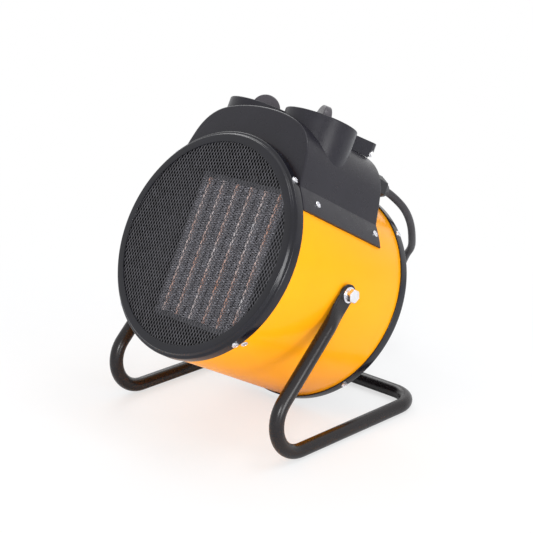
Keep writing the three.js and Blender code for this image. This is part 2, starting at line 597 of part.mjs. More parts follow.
// ------------------------------------------------------------------ cord gland
const glandRod = (b0, b1, r, sides = 20, r1 = r) =>
  rod([GLAND_X, b0, GLAND_U], [GLAND_X, b1, GLAND_U], r, sides, r1, sides === 6 ? 0 : undefined);
const hex = (af) => af / 2 / Math.cos(Math.PI / 6);
const glandIn = HOOD_REAR - HOOD_WALL;
const SEAL_R = 7.6;
add(tilt, 'cord_gland', cut(join(glandRod(glandIn - 4.6, HOOD_REAR + 1, GLAND_THREAD),
  glandRod(HOOD_REAR + 0.1, HOOD_REAR + 5.6, hex(GLAND_AF), 6),
  glandRod(HOOD_REAR + 5.6, HOOD_REAR + 14.5, SEAL_R)),
glandRod(glandIn - 8, HOOD_REAR + 20, LINE + 0.7)), NYLON);
add(tilt, 'gland_lock_nut', cut(rod([GLAND_X, glandIn - 3.9, GLAND_U],
  [GLAND_X, glandIn - 0.1, GLAND_U], hex(GLAND_AF - 3), 6, undefined, 25 * rad),
  glandRod(glandIn - 8, glandIn + 4, GLAND_THREAD + SEAT)), NYLON);
const domeB = HOOD_REAR + 6.2;
add(tilt, 'gland_dome_nut', cut(join(glandRod(domeB, domeB + 10, hex(GLAND_AF - 1), 6),
  glandRod(domeB + 10, GLAND_END, 10.9, 20, 7.4)),
glandRod(domeB - 4, HOOD_REAR + 17.6, SEAL_R + SEAT), glandRod(domeB, GLAND_END + 4, LINE + 0.6)),
NYLON);
add(tilt, 'gland_seal', cut(glandRod(HOOD_REAR + 14.8, HOOD_REAR + 17.3, SEAL_R),
  glandRod(HOOD_REAR, HOOD_REAR + 30, LINE + SEAT)), RUBBER);

// ------------------------------------------------------------------ heating element
const capIn = ELEM_W / 2 - ELEM_SIDE;
add(tilt, 'element_frame', cut(
  block(-ELEM_W / 2, ELEM_W / 2, ELEM_FRONT, ELEM_REAR, ELEM_BOTTOM, ELEM_TOP),
  block(-capIn, capIn, ELEM_FRONT - 1, ELEM_REAR + 1, ELEM_BOTTOM + ELEM_CAP, ELEM_TOP - ELEM_CAP),
), ALU);
const [fin0, fin1] = [ELEM_BOTTOM + ELEM_CAP + SEAT, ELEM_TOP - ELEM_CAP - SEAT];
const finFold = (fin1 - fin0) / FIN_FOLDS;
const finWide = ELEM_PITCH / 2 - BAR_T / 2 - 0.05;
const finSkew = FIN_T * Math.hypot(finWide, finFold) / finFold;
function finStrip(x0) {                 // folded strip standing between x0 and x0 + finWide
  const left = [];
  const right = [];
  for (let i = 0; i <= FIN_FOLDS; i++) {
    const u = fin0 + 0.4 + (fin1 - fin0 - 0.8) * i / FIN_FOLDS;
    const x = x0 + (i % 2 ? finWide - finSkew : 0);
    left.push([x, u]);
    right.push([x + finSkew, u]);
  }
  return toSolid(prism([...right, ...left.reverse()], ELEM_FRONT, ELEM_REAR));
}
for (let i = 0; i < ELEM_UNITS; i++) {   // a heating bar with a folded fin strip on each side
  const x = (i - (ELEM_UNITS - 1) / 2) * ELEM_PITCH;
  add(tilt, `heating_unit_${i + 1}`, join(
    block(x - BAR_T / 2, x + BAR_T / 2, ELEM_FRONT + 0.6, ELEM_REAR - 0.6, fin0, fin1),
    finStrip(x - ELEM_PITCH / 2 + 0.1), finStrip(x + BAR_T / 2 - 0.05)), COPPER);
}

const INSIDE_R = (DRUM_R - SHEET) * Math.cos(Math.PI / TURN) - SEAT;
function sideBaffle(side) {
  const half = Math.acos(BAFFLE_X / INSIDE_R) / rad;
  const arc = Array.from({ length: 17 }, (_, i) => polar(INSIDE_R, 90 + half - i * half / 8));
  const top = INSIDE_R * Math.sin(half * rad) - 6;
  const plate = toSolid(prism(arc, ELEM_FRONT - BAFFLE_T, ELEM_FRONT));
  const fold = block(BAFFLE_X, BAFFLE_X + BAFFLE_T, ELEM_FRONT - 0.5, ELEM_FRONT + BAFFLE_FOLD,
    -top, top);
  const body = join(plate, fold);
  return side > 0 ? body : body.mirror([1, 0, 0]);
}
add(tilt, 'side_baffle_left', sideBaffle(-1), DARKSTEEL);
add(tilt, 'side_baffle_right', sideBaffle(1), DARKSTEEL);

const inDrum = (b0, b1) => turned([[0, b0], [INSIDE_R, b0], [INSIDE_R, b1], [0, b1]]);
const railB = ELEM_REAR + 0.05;
function rail(u) {
  const web = block(-RING_R, RING_R, railB, railB + RAIL_T, u - RAIL_W / 2, u + RAIL_W / 2);
  const lip = block(-RING_R, RING_R, railB, railB + RAIL_LIP,
    u > 0 ? u + RAIL_W / 2 - RAIL_T : u - RAIL_W / 2, u > 0 ? u + RAIL_W / 2 : u - RAIL_W / 2 + RAIL_T);
  return join(web, lip).intersect(inDrum(railB - 1, railB + RAIL_LIP + 1));
}
add(tilt, 'upper_rail', rail(RAIL_U), DARKSTEEL);
add(tilt, 'lower_rail', rail(-RAIL_U), DARKSTEEL);
const cutB = (ELEM_FRONT + ELEM_REAR) / 2;
add(tilt, 'thermal_cutout', join(
  rod([0, cutB, ELEM_TOP], [0, cutB, ELEM_TOP + CUTOUT_H - 3], CUTOUT_R, 20),
  rod([0, cutB, ELEM_TOP + CUTOUT_H - 3], [0, cutB, ELEM_TOP + CUTOUT_H], CUTOUT_R - 2, 16),
  block(-CUTOUT_R - 3.5, CUTOUT_R + 3.5, cutB - 3, cutB + 3, ELEM_TOP, ELEM_TOP + 0.8)), NYLON);

// ------------------------------------------------------------------ fan
const onAxis = (b0, b1, r, sides = 32, r1 = r) => rod([0, b0, 0], [0, b1, 0], r, sides, r1);
const spiderB = MOTOR_REAR + SEAT;
add(tilt, 'fan_motor', cut(join(onAxis(MOTOR_FRONT + 6, MOTOR_REAR, MOTOR_R, 24),
  onAxis(MOTOR_FRONT + 2, MOTOR_FRONT + 6, MOTOR_R - 6, 24, MOTOR_R),
  onAxis(MOTOR_FRONT, MOTOR_FRONT + 2, 8, 20)),
onAxis(MOTOR_FRONT - 1, MOTOR_REAR - 8, SHAFT_R + BORE_GAP, 16)), STEEL);
let spider = onAxis(spiderB, spiderB + SPIDER_T, MOTOR_R - 6, 24);
for (const a of quarters.slice(0, 2)) {
  const arm = block(-ARM_W / 2, ARM_W / 2, spiderB, spiderB + SPIDER_T, -RING_R, RING_R);
  const feet = [1, -1].map((s) => {
    const lo = s > 0 ? INSIDE_R - 1.9 : -RING_R;
    return block(-ARM_W / 2, ARM_W / 2, spiderB - SPIDER_FOOT, spiderB + SPIDER_T, lo,
      s > 0 ? RING_R : -INSIDE_R + 1.9);
  });
  spider = spider.add(join(arm, ...feet).rotate([0, a, 0]));
}
spider = spider.intersect(inDrum(spiderB - SPIDER_FOOT - 1, spiderB + SPIDER_T + 1.5));
add(tilt, 'motor_bracket', cut(spider, onAxis(spiderB - 1, spiderB + 3, 6, 16)), DARKSTEEL);
const hubB0 = FAN_MID - FAN_HUB / 2;
const hubB1 = FAN_MID + FAN_HUB / 2;
add(tilt, 'motor_shaft', onAxis(hubB0 - 5, MOTOR_REAR - 9, SHAFT_R, 16), STEEL);
add(tilt, 'hub_nut', cut(rod([0, hubB0 - 4.2, 0], [0, hubB0 - 0.1, 0], hex(9), 6),
  onAxis(hubB0 - 6, hubB0 + 1, SHAFT_R + SEAT, 16)), ZINC);

// one twisted blade: flat chord wrapped round the axis, wide and shallow at its tip
function blade(turn) {
  const stations = [FAN_HUB_R - 3, 45, 68, 88, FAN_R];
  const ring = stations.flatMap((r) => {
    const t = (r - stations[0]) / (FAN_R - stations[0]);
    const chord = 25 + 47 * Math.pow(t, 0.8);
    const pitch = (42 - 22 * t) * rad;
    return [[-1, -1], [0, -1.15], [1, -1], [1, 1], [0, 1.15], [-1, 1]].map(([c, side]) => {
      const s = c * chord / 2;
      const n = side * BLADE_T / 2;
      const along = s * Math.cos(pitch) - n * Math.sin(pitch);
      const b = FAN_MID + s * Math.sin(pitch) + n * Math.cos(pitch);
      const a = turn + along / r;
      return new THREE.Vector3(r * Math.sin(a), b, r * Math.cos(a));
    });
  });
  const g = new THREE.BufferGeometry().setFromPoints(ring);
  const faces = [];
  for (let i = 0; i < stations.length - 1; i++) for (let k = 0; k < 6; k++) {
    const [a, b] = [i * 6 + k, i * 6 + (k + 1) % 6];
    faces.push(a, b, b + 6, a, b + 6, a + 6);
  }
  const end = (stations.length - 1) * 6;
  for (let k = 1; k < 5; k++) faces.push(0, k + 1, k, end, end + k, end + k + 1);
  g.setIndex(faces);
  return toSolid(g);
}
let fan = onAxis(hubB0, hubB1, FAN_HUB_R, 24);
for (let i = 0; i < BLADES; i++) fan = fan.add(blade(i * 2 * Math.PI / BLADES));
const recess = onAxis(hubB0 + 5, hubB1 + 2, FAN_HUB_R - 3, 24);
const boss = onAxis(hubB0, hubB1 + 1, 8, 16);
fan = cut(fan, cut(recess, boss), onAxis(hubB0 - 2, hubB1 + 2, SHAFT_R + BORE_GAP, 16));
add(tilt, 'fan_impeller', fan, BLACK);

// ------------------------------------------------------------------ pivots
for (const [side, word] of [[-1, 'left'], [1, 'right']]) {
  const ring = (x0, x1, r, hole, sides) => cut(rod([side * x0, 0, 0], [side * x1, 0, 0], r, sides),
    rod([side * (x0 - 5), 0, 0], [side * (x1 + 5), 0, 0], hole, 12));
  add(tilt, `spacer_${word}`, ring(DRUM_R + 0.05, TAB_IN, WASHER_R, boltHole, 16), NYLON);
  add(tilt, `washer_${word}`, ring(TAB_OUT, TAB_OUT + WASHER_T, WASHER_R, boltHole, 16), ZINC);
  add(tilt, `spring_washer_${word}`,
    cut(ring(TAB_OUT + WASHER_T, HEAD_X, SPRING_R, boltHole, 16),
      block(Math.min(side * TAB_OUT, side * HEAD_X) - 1, Math.max(side * TAB_OUT, side * HEAD_X) + 1,
        3, 12, -0.6, 0.6)), ZINC);
  const head = hex(BOLT_AF);
  add(tilt, `pivot_bolt_${word}`, join(
    rod([side * HEAD_X, 0, 0], [side * (HEAD_X + BOLT_HEAD * 0.8), 0, 0], head, 6),
    rod([side * (HEAD_X + BOLT_HEAD * 0.8), 0, 0], [side * (HEAD_X + BOLT_HEAD), 0, 0], head, 6,
      head * 0.86),
    rod([side * (DRUM_R - SHEET - 10), 0, 0], [side * (HEAD_X + 1), 0, 0], BOLT_R, 16)), ZINC);
  add(tilt, `weld_nut_${word}`,
    ring(DRUM_R - SHEET - 7.5, DRUM_R - SHEET - 0.65, hex(BOLT_AF), boltHole, 6), STEEL);
}

// ------------------------------------------------------------------ stand
// Side view of the right leg in (y, z): down from the pivot, round the front bend, back along
// the floor; then round the rear corner to the cross tube, and the same on the left.
const lineZ = TUBE / 2;
const legRun = Math.hypot(STAND_FRONT, PIVOT_H - lineZ);
const legDir = [STAND_FRONT / legRun, (lineZ - PIVOT_H) / legRun];
const legTurn = Math.PI - Math.atan2(PIVOT_H - lineZ, -STAND_FRONT);
const frontCut = BEND_FRONT * Math.tan(legTurn / 2);
const right = [];
const dirs = [];
function put(y, z, dy, dz) {
  right.push(new THREE.Vector3(STAND_HALF, y, z));
  dirs.push(new THREE.Vector3(0, dy, dz).normalize());
}
const tabStations = [-TAB_R + 0.6, -TAB_R * 0.82, -TAB_R * 0.5, 0, TAB_FLAT,
  ...[0.25, 0.5, 0.75, 1].map((t) => TAB_FLAT + TAB_TAPER * t)];
for (const s of tabStations) put(legDir[0] * s, PIVOT_H + legDir[1] * s, ...legDir);
const centre = [STAND_FRONT + frontCut, lineZ + BEND_FRONT];
for (let i = 0; i <= 7; i++) {
  const a = -legTurn * (1 - i / 7);            // heading, from the leg's to the floor run's
  put(centre[0] + BEND_FRONT * Math.sin(a), centre[1] - BEND_FRONT * Math.cos(a),
    Math.cos(a), Math.sin(a));
}
for (let i = 0; i <= 5; i++) {
  const a = i * Math.PI / 10;
  right.push(new THREE.Vector3(STAND_HALF - BEND_BACK + BEND_BACK * Math.cos(a),
    STAND_BACK - BEND_BACK + BEND_BACK * Math.sin(a), lineZ));
  dirs.push(new THREE.Vector3(-Math.sin(a), Math.cos(a), 0));
}
const flipX = (v, s) => new THREE.Vector3(-v.x * s, v.y, v.z);
const standRoute = new Route([...right, ...right.slice().reverse().map((v) => flipX(v, 1))],
  [...dirs, ...dirs.slice().reverse().map((v) => flipX(v, 1).negate())]);
const tubeR = lineZ / Math.cos(Math.PI / 12);
const standG = move(sweep(standRoute, tubeR, 12), (v) => {
  if (v.z < PIVOT_H / 2) return;
  const s = v.y * legDir[0] + (v.z - PIVOT_H) * legDir[1];
  if (s > TAB_FLAT + TAB_TAPER - 0.01) return;
  const n = -v.y * legDir[1] + (v.z - PIVOT_H) * legDir[0];
  const side = Math.sign(v.x);
  const out = v.x * side - STAND_HALF;
  const t = Math.max(0, (s - TAB_FLAT) / TAB_TAPER);
  const round = t * t * (3 - 2 * t);
  const width = s < 0 ? Math.sqrt(TAB_R * TAB_R - s * s) : TAB_R;
  const flatN = width * (n / tubeR) / Math.sin(75 * rad);
  const flatX = Math.sign(out) * TAB_T / 2 - TAB_SHIFT;
  const [n1, x1] = [flatN + (n - flatN) * round, flatX + (out - flatX) * round];
  v.set(side * (STAND_HALF + x1), legDir[0] * s - legDir[1] * n1,
    PIVOT_H + legDir[1] * s + legDir[0] * n1);
});
const tabHole = rod([-STAND_HALF - 9, 0, PIVOT_H], [STAND_HALF + 9, 0, PIVOT_H], boltHole, 16);
add(floor, 'stand_frame', cut(toSolid(standG), tabHole), BLACK);

// ------------------------------------------------------------------ mains lead
const inFloor = (x, b, u) => {          // heater frame to floor frame
  const [c, s] = [Math.cos(TILT * rad), Math.sin(TILT * rad)];
  return new THREE.Vector3(x, b * c + u * s, PIVOT_H - b * s + u * c);
};
const climbFrom = (COIL_TURNS - 0.5) / 2;
const heading = (deg) => new THREE.Vector3(-Math.cos(deg * rad), -Math.sin(deg * rad), 0);
function coilPoint(deg) {               // anticlockwise from where the lead meets the coil
  const turns = deg / 360;
  const r = COIL_OUT - COIL_PITCH * Math.min(turns, COIL_TURNS - turns);
  const t = Math.min(1, Math.max(0, (turns - climbFrom) / 0.5));
  const a = (COIL_START + deg) * rad;
  return new THREE.Vector3(COIL_X - r * Math.sin(a), COIL_Y + r * Math.cos(a),
    COIL_Z + COIL_PITCH * t * t * (3 - 2 * t));
}
const coilEnd = COIL_TURNS * 360;
const endAngle = COIL_START + coilEnd;
const coilPath = Array.from({ length: Math.round(coilEnd / 15) + 1 }, (_, i) => coilPoint(15 * i));
const [headIn, headOut] = [heading(COIL_START), heading(endAngle)];
coilPath.unshift(coilPath[0].clone().addScaledVector(headIn, -CORD));
coilPath.push(coilPath.at(-1).clone().addScaledVector(headOut, CORD));
const coilRoute = new Route(coilPath);
coilRoute.tangents[0] = coilRoute.tangents[1] = headIn;
coilRoute.tangents[coilPath.length - 1] = coilRoute.tangents[coilPath.length - 2] = headOut;
add(floor, 'cord_coil', toSolid(sweep(coilRoute, COIL_TUBE, COIL_SIDES)), RUBBER);
let least = Infinity;
const fine = [];
for (let deg = 0; deg <= coilEnd; deg += 3) fine.push([deg, coilPoint(deg)]);
for (const [d0, p] of fine) for (const [d1, q] of fine) {
  if (d1 - d0 > 90) least = Math.min(least, p.distanceTo(q) - 2 * COIL_TUBE);
}
console.log('least self-gap of the coil, mm:', least.toFixed(2));

const mouth = inFloor(GLAND_X, GLAND_END, GLAND_U);
const glandDir = inFloor(0, 1, 0).sub(inFloor(0, 0, 0));
const start = inFloor(GLAND_X, HOOD_REAR + 17.9, GLAND_U);
const meet = coilPath[0];
const before = (d, z) => meet.clone().addScaledVector(headIn, -d).setZ(z);
const leadGuide = [start, mouth, mouth.clone().addScaledVector(glandDir, 10),
  ...[[64.5, 153, 203], [60, 171, 182], [52, 185, 160], [43, 195, 144], [33, 199, 132],
    [20, 206, 114], [5, 214, 92], [-12, 222, 68]].map((p) => new THREE.Vector3(...p)),
  before(63, 45), before(41, 26), before(24, 13.5), before(11, 7.5), meet];
const curve = new THREE.CatmullRomCurve3(leadGuide, false, 'centripetal');
const leadSteps = Math.round(curve.getLength() / (CORD * 2));
const leadPath = curve.getSpacedPoints(leadSteps);
leadPath[0].copy(start);
const leadRoute = new Route(leadPath);
leadRoute.tangents[0] = glandDir.clone().normalize();
leadRoute.tangents[leadSteps] = headIn;
add(floor, 'cord_lead', toSolid(sweep(leadRoute, LINE, 8)), RUBBER);

const runs = (points) => points.slice(1).reduce((sum, p, i) => sum + p.distanceTo(points[i]), 0);
console.log('lead to the coil, coil, whole, mm:', runs(leadPath).toFixed(0),
  runs(coilPath).toFixed(0), (runs(leadPath) + runs(coilPath) + PLUG_L + RELIEF_L).toFixed(0));

// strap round the coil, opposite its ends
const tieAngle = COIL_START + 180;
const rings = Array.from({ length: Math.floor(COIL_TURNS) }, (_, i) =>
  COIL_OUT - COIL_PITCH * Math.min(i + 0.5, COIL_TURNS - i - 0.5));
const tieOut = Math.max(...rings) + COIL_TUBE + 2 * SEAT;
const tieIn = Math.min(...rings) - COIL_TUBE - 2 * SEAT;
const tieTop = COIL_Z + COIL_PITCH + COIL_TUBE + SEAT;
add(floor, 'coil_tie', cut(
  block(-TIE_W / 2, TIE_W / 2, tieIn - TIE_T, tieOut + TIE_T, 0, tieTop + TIE_T),
  block(-TIE_W, TIE_W, tieIn, tieOut, TIE_T, tieTop),
).rotate([0, 0, tieAngle]).translate([COIL_X, COIL_Y, 0]), NYLON);

// plug lying on the floor at the coil's end, made along -x and turned to its heading
const coilStop = coilPath.at(-1);
const lay = (solid) => solid.rotate([0, 0, endAngle % 360]).translate([coilStop.x, coilStop.y, 0]);
const along = (x0, x1, r0, r1 = r0, dy = 0, sides = 20, z0 = PLUG_R) =>
  rod([-x0, dy, z0], [-x1, dy, PLUG_R], r0, sides, r1);
const reliefG = rodGeometry([0, 0, 0], [-RELIEF_L, 0, 0], LINE + 1, 12, LINE + 3.2);
move(reliefG, (v) => {                  // its ends stay square while it rises to the plug
  v.z += coilStop.z + (PLUG_R - coilStop.z) * -v.x / RELIEF_L;
  v.x -= 0.1;
});
add(floor, 'plug_relief', lay(toSolid(reliefG)), RUBBER);
const plugFoot = RELIEF_L + 0.4;
const plugFace = plugFoot + PLUG_L;
let plug = join(along(plugFoot, plugFoot + 12, 9, 15),
  along(plugFoot + 12, plugFace - 14, 15, PLUG_R - 0.3), along(plugFace - 14, plugFace, PLUG_R));
for (const s of [-1, 1]) {              // earth clip grooves
  plug = cut(plug, block(-plugFace - 1, -plugFace + 20, -3.5, 3.5,
    PLUG_R + s * PLUG_R - 3, PLUG_R + s * PLUG_R + 3));
}
add(floor, 'plug_body', lay(plug), RUBBER);
for (const [dy, word] of [[-PIN_GAP / 2, 'a'], [PIN_GAP / 2, 'b']]) {
  add(floor, `plug_pin_${word}`, lay(join(
    along(plugFace, plugFace + PIN_L - 2, PIN_R, PIN_R, dy, 10),
    along(plugFace + PIN_L - 2, plugFace + PIN_L, PIN_R, 1.4, dy, 10))), ZINC);
}

export default object;
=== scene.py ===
"""Forced air heater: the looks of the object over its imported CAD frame.

Sizes are millimetres. Most are in the heater's own frame: x across, b along the drum towards the
rear, u across the drum towards the hood, with its origin on the drum axis between the pivot bolts.
HEATER takes that frame, and FLOOR the floor frame under the pivots, to the shared frame in metres.
"""

import math

import bmesh
import bpy
import numpy as np
from mathutils import Matrix, Vector


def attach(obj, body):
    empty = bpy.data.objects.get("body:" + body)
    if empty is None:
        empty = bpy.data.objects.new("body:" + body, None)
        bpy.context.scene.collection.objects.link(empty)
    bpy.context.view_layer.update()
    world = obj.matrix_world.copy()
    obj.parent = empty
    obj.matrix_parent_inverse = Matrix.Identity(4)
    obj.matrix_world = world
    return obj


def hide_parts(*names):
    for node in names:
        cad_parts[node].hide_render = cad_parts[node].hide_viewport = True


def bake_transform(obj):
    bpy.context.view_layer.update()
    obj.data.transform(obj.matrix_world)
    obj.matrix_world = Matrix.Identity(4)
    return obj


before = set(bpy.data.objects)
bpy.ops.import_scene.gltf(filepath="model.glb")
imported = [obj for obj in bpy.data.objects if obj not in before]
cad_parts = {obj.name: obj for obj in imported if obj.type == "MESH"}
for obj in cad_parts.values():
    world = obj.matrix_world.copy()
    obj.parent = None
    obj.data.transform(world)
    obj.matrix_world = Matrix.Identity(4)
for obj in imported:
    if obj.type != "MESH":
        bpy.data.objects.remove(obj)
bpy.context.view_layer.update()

# ------------------------------------------------------------------ driving sizes
MM = 0.001
TILT = math.radians(29)        # at rest the drum points up by this
PIVOT_H = 153.8                # pivot axis over the floor
ORIGIN_Y = 0.14                # pivot axis in the shared frame

RING_R = 120
RING_T = 1.2                   # sheet of the rings
FACE_B = -98.9                 # front ring: face, opening, crest and chamfer
OPEN_R = 107
CREST_R = 115.2
CHAMFER = 1.4
CHAMFER_B = FACE_B + 3.4
LIP_B = -94.6                  # front ring: skirt from here
SKIRT_B = -85.3                # to here
REAR_SKIRT_B = 85.4
REAR_B = 96.6
REAR_OPEN_R = 108
SCREW_R = 3.6                  # heads of all the sheet screws
SCREW_H = 2.0
RING_SCREWS = (45, 135, 225, 315)      # degrees from the crown, as all screws
BRACE_SCREW = 133
BRACE_IN = 4.6                 # baffle screws behind the front skirt's edge
HOOD_SCREW = 54
HOOD_SCREW_FRONT = 24          # hood screws from its front and rear ends
HOOD_SCREW_REAR = 9

DRUM_R = 118.45
DRUM_T = 1.0
DRUM_IN = 0.7                  # drum edge behind the front ring's fold
SEAT = 0.3                     # clearance of a piece shaped to its neighbour
SHEET_GAP = 0.1                # clearance of flat sheets

GRILLE_T = 0.8
GRILLE_R = 113.7
MESH_X = 4.0                   # diamond of the expanded mesh: across
MESH_U = 6.96                  # and up the face
MESH_OPEN = 0.78               # opening over diamond
MESH_TURN = math.radians(9)    # the sheet sits slightly turned in its ring
MESH_FACE = 0.18               # strand face behind the sheet's front plane
MESH_TWIST = 0.2               # rise and fall of a strand across its diamond
MESH_EDGE = 3.6                # closed rim of the sheet

HOOD_SEAT = DRUM_R + SEAT
HOOD_FRONT = -85
HOOD_REAR = 47
HOOD_DRAFT = 4.5               # the front leans back by this at the crown
HOOD_RISE = 2.4                # and the crown rises by this to the rear
HOOD_WALL = 2.6
HOOD_ROUND_FRONT = 2.0         # rounded edges of its ends
HOOD_ROUND_REAR = 2.4
FLANGE_T = 2.3
FLANGE_TIP = 60.3              # flange ends, degrees from the crown
FLANGE_ROOT = 47.8
CAVITY_FOOT = 21               # hollow below the flange's crease

KNOB_X = 41
KNOB_B = -35
KNOB_R = 33.4
KNOB_GAP = 1.1                 # knob over the floor of its well
SKIRT_H = 5.2
GRIP_R = 15.5
GRIP_T = 11
GRIP_LIFT = 3.4                # centre of the half disc over the skirt
GRIP_TAPER = 0.22              # share of its thickness lost at the top
GRIP_EDGE = 1.3
WELL_IN = 36.3
WELL_R = 39
WELL_FLARE = 0.8               # rounded inner edge of the rim
TOWER_H = 49
SHAFT_HOLE = 3.35
GLAND_HOLE = 8.3
GLAND_IN = 17.9                # visible lead starts inside the gland, behind the hood
GLAND_END = 73                 # mouth of the gland

ELEM_FRONT = -66.5
ELEM_DEPTH = 26
ELEM_UNITS = 6
ELEM_PITCH = 20.5
ELEM_TOP = 76.5
ELEM_BOTTOM = -81.5
ELEM_CAP = 5                   # closed ends of the element's frame
BAR_T = 2.6
BAR_BACK = 0.6                 # bars end before the fins do
FIN_FOLDS = 58
FIN_HALF = 0.35                # half the height of a fin sheet's edge
FIN_GAP = 0.05                 # fins to bar

TUBE = 15
STAND_HALF = RING_R + 3.2
STAND_FRONT = -152.95
STAND_BACK = 113.95
BEND_FRONT = 34
BEND_BACK = 31
TAB_T = 3
TAB_R = 10.6
TAB_FLAT = 14                  # flattened length below the pivot
TAB_TAPER = 27                 # and the run back to the round tube
TAB_SHIFT = 1.3                # the flat lies this much nearer to the drum
TAB_STATIONS = (3, 15, 28, 42, 56, 70, 84)     # round end of the flat, degrees

CORD = 8.5
CORD_STEP = CORD * 0.6
CORD_SIDES = 20
CORD_STRAIGHT = 10             # straight run of the lead behind its gland
COIL_X = -120.5
COIL_Y = 221.4
COIL_Z = 5.74
COIL_OUT = 55
COIL_START = -30
COIL_TURNS = 4 + 1 / 6
COIL_PITCH = 9.5
COIL_CLIMB = 0.5               # turns over which the coil climbs on to its lower layer
LEAD_ROUTE = (                 # free run of the lead behind the drum, in the floor frame
    (64.5, 153, 203), (60, 171, 182), (52, 185, 160), (43, 195, 144), (33, 199, 132),
    (20, 206, 114), (5, 214, 92), (-12, 222, 68),
)
LANDING = ((63, 45), (41, 26), (24, 13.5), (11, 7.5))      # distance before the coil, height

ROUND = 256                    # sides of the drum and rings
LIP_ARC = 9                    # steps of a rounded edge on the hood


def polar(r, deg):
    """(x, u) at a radius of the drum and degrees from the crown."""
    return (r * math.sin(math.radians(deg)), r * math.cos(math.radians(deg)))


crease = polar(HOOD_SEAT + FLANGE_T, FLANGE_ROOT)
CROWN = crease[1] + 71.89
DRAFT_FOOT = 93.2              # draft and rise start this far below the crown
RISE_FOOT = 71.2
HOOD_STEPS = (                 # (x, u) of the hood's side from its crease up to the crown
    (0, 0), (-2.37, 8.69), (-5.07, 19.69), (-7.47, 28.69), (-10.07, 36.69), (-13.47, 43.69),
    (-18.27, 50.49), (-24.67, 56.69), (-32.87, 61.89), (-43.67, 65.99), (-58.67, 69.39),
    (-74.17, 71.29), (-crease[0], 71.89),
)
HOOD_STEPS_PER_SIDE = 60
WELL_RIM = CROWN + 7.8
WELL_FLOOR = WELL_RIM - 9.5
CEILING = WELL_FLOOR - HOOD_WALL
GLAND_X = crease[0] - 28.67
GLAND_U = CROWN - 29.2

FLOOR = Matrix.Scale(MM, 4) @ Matrix.Translation((0, ORIGIN_Y, 0))
HEATER = FLOOR @ Matrix.Translation((0, 0, PIVOT_H)) @ Matrix.Rotation(-TILT, 4, "X")

# ------------------------------------------------------------------ camera and light values
LENS = 94.06
SENSOR = 36
CAMERA_PLACE = (999.434, -982.254, 602.701)    # in the floor frame
CAMERA_RIGHT = (0.704726, 0.709461, -0.005195)
CAMERA_UP = (-0.211968, 0.217530, 0.952759)
FILL = 0.76                    # world light on surfaces; cameras and reflections see plain white
FILL_COLOUR = (0.95, 0.97, 1.0, 1)
WHITE = (1, 1, 1, 1)
LAMPS = (                      # name, place, target and size in metres, watts
    ("key", (1.15, -1.3, 0.72), (0, 0, 0.18), (0.4, 0.35), 10),
    ("side", (1.74, -0.2, 0.32), (0, 0, 0.2), (0.6, 0.9), 13),
    ("top", (0.55, 0.4, 1.55), (0, 0, 0.25), (0.7, 0.4), 4),
    ("back", (-1.15, 0.75, 1.3), (0, 0, 0.25), (1.0, 0.7), 7),
)
FLOOR_HALF = 6                 # metres
FLOOR_DROP = 0.0004
FLOOR_NEAR = 0.35              # the camera sees pure white from FLOOR_FAR on
FLOOR_FAR = 0.75
FLOOR_LIFT = 0.62              # and this share of white near the part


# ------------------------------------------------------------------ camera and world
def make_camera():
    """The camera as fitted to the photo."""
    data = bpy.data.cameras.new("camera")
    data.sensor_width = SENSOR
    data.lens = LENS
    data.clip_end = 20
    cam = bpy.data.objects.new("camera", data)
    right, up = Vector(CAMERA_RIGHT), Vector(CAMERA_UP)
    turn = Matrix((right, up, right.cross(up))).transposed().to_4x4()
    cam.matrix_world = Matrix.Translation(FLOOR @ Vector(CAMERA_PLACE)) @ turn
    bpy.context.scene.collection.objects.link(cam)
    bpy.context.scene.camera = cam


def make_world():
    """Soft fill light; camera, glossy and transmission rays see white."""
    world = bpy.data.worlds.new("studio")
    bpy.context.scene.world = world
    world.use_nodes = True
    nodes, links = world.node_tree.nodes, world.node_tree.links
    nodes.clear()
    out = nodes.new("ShaderNodeOutputWorld")
    mix = nodes.new("ShaderNodeMixShader")
    soft = nodes.new("ShaderNodeBackground")
    seen = nodes.new("ShaderNodeBackground")
    path = nodes.new("ShaderNodeLightPath")
    either = nodes.new("ShaderNodeMath")
    any_of_three = nodes.new("ShaderNodeMath")
    for node in (either, any_of_three):
        node.operation = "MAXIMUM"
    soft.inputs["Color"].default_value = FILL_COLOUR
    soft.inputs["Strength"].default_value = FILL
    seen.inputs["Color"].default_value = WHITE
    seen.inputs["Strength"].default_value = 1
    links.new(path.outputs["Is Camera Ray"], either.inputs[0])
    links.new(path.outputs["Is Glossy Ray"], either.inputs[1])
    links.new(either.outputs[0], any_of_three.inputs[0])
    links.new(path.outputs["Is Transmission Ray"], any_of_three.inputs[1])
    links.new(any_of_three.outputs[0], mix.inputs["Fac"])
    links.new(soft.outputs[0], mix.inputs[1])
    links.new(seen.outputs[0], mix.inputs[2])
    links.new(mix.outputs[0], out.inputs["Surface"])


make_camera()
make_world()
bpy.context.scene.view_settings.view_transform = "Standard"

# ------------------------------------------------------------------ materials
NOISE_LOW = 0.3                # range of a noise that a finish uses
NOISE_HIGH = 0.7
SPREAD_MM = 9                  # size of the roughness variation
GRAIN_DEPTH = 0.2
SMOOTHEST = 0.02


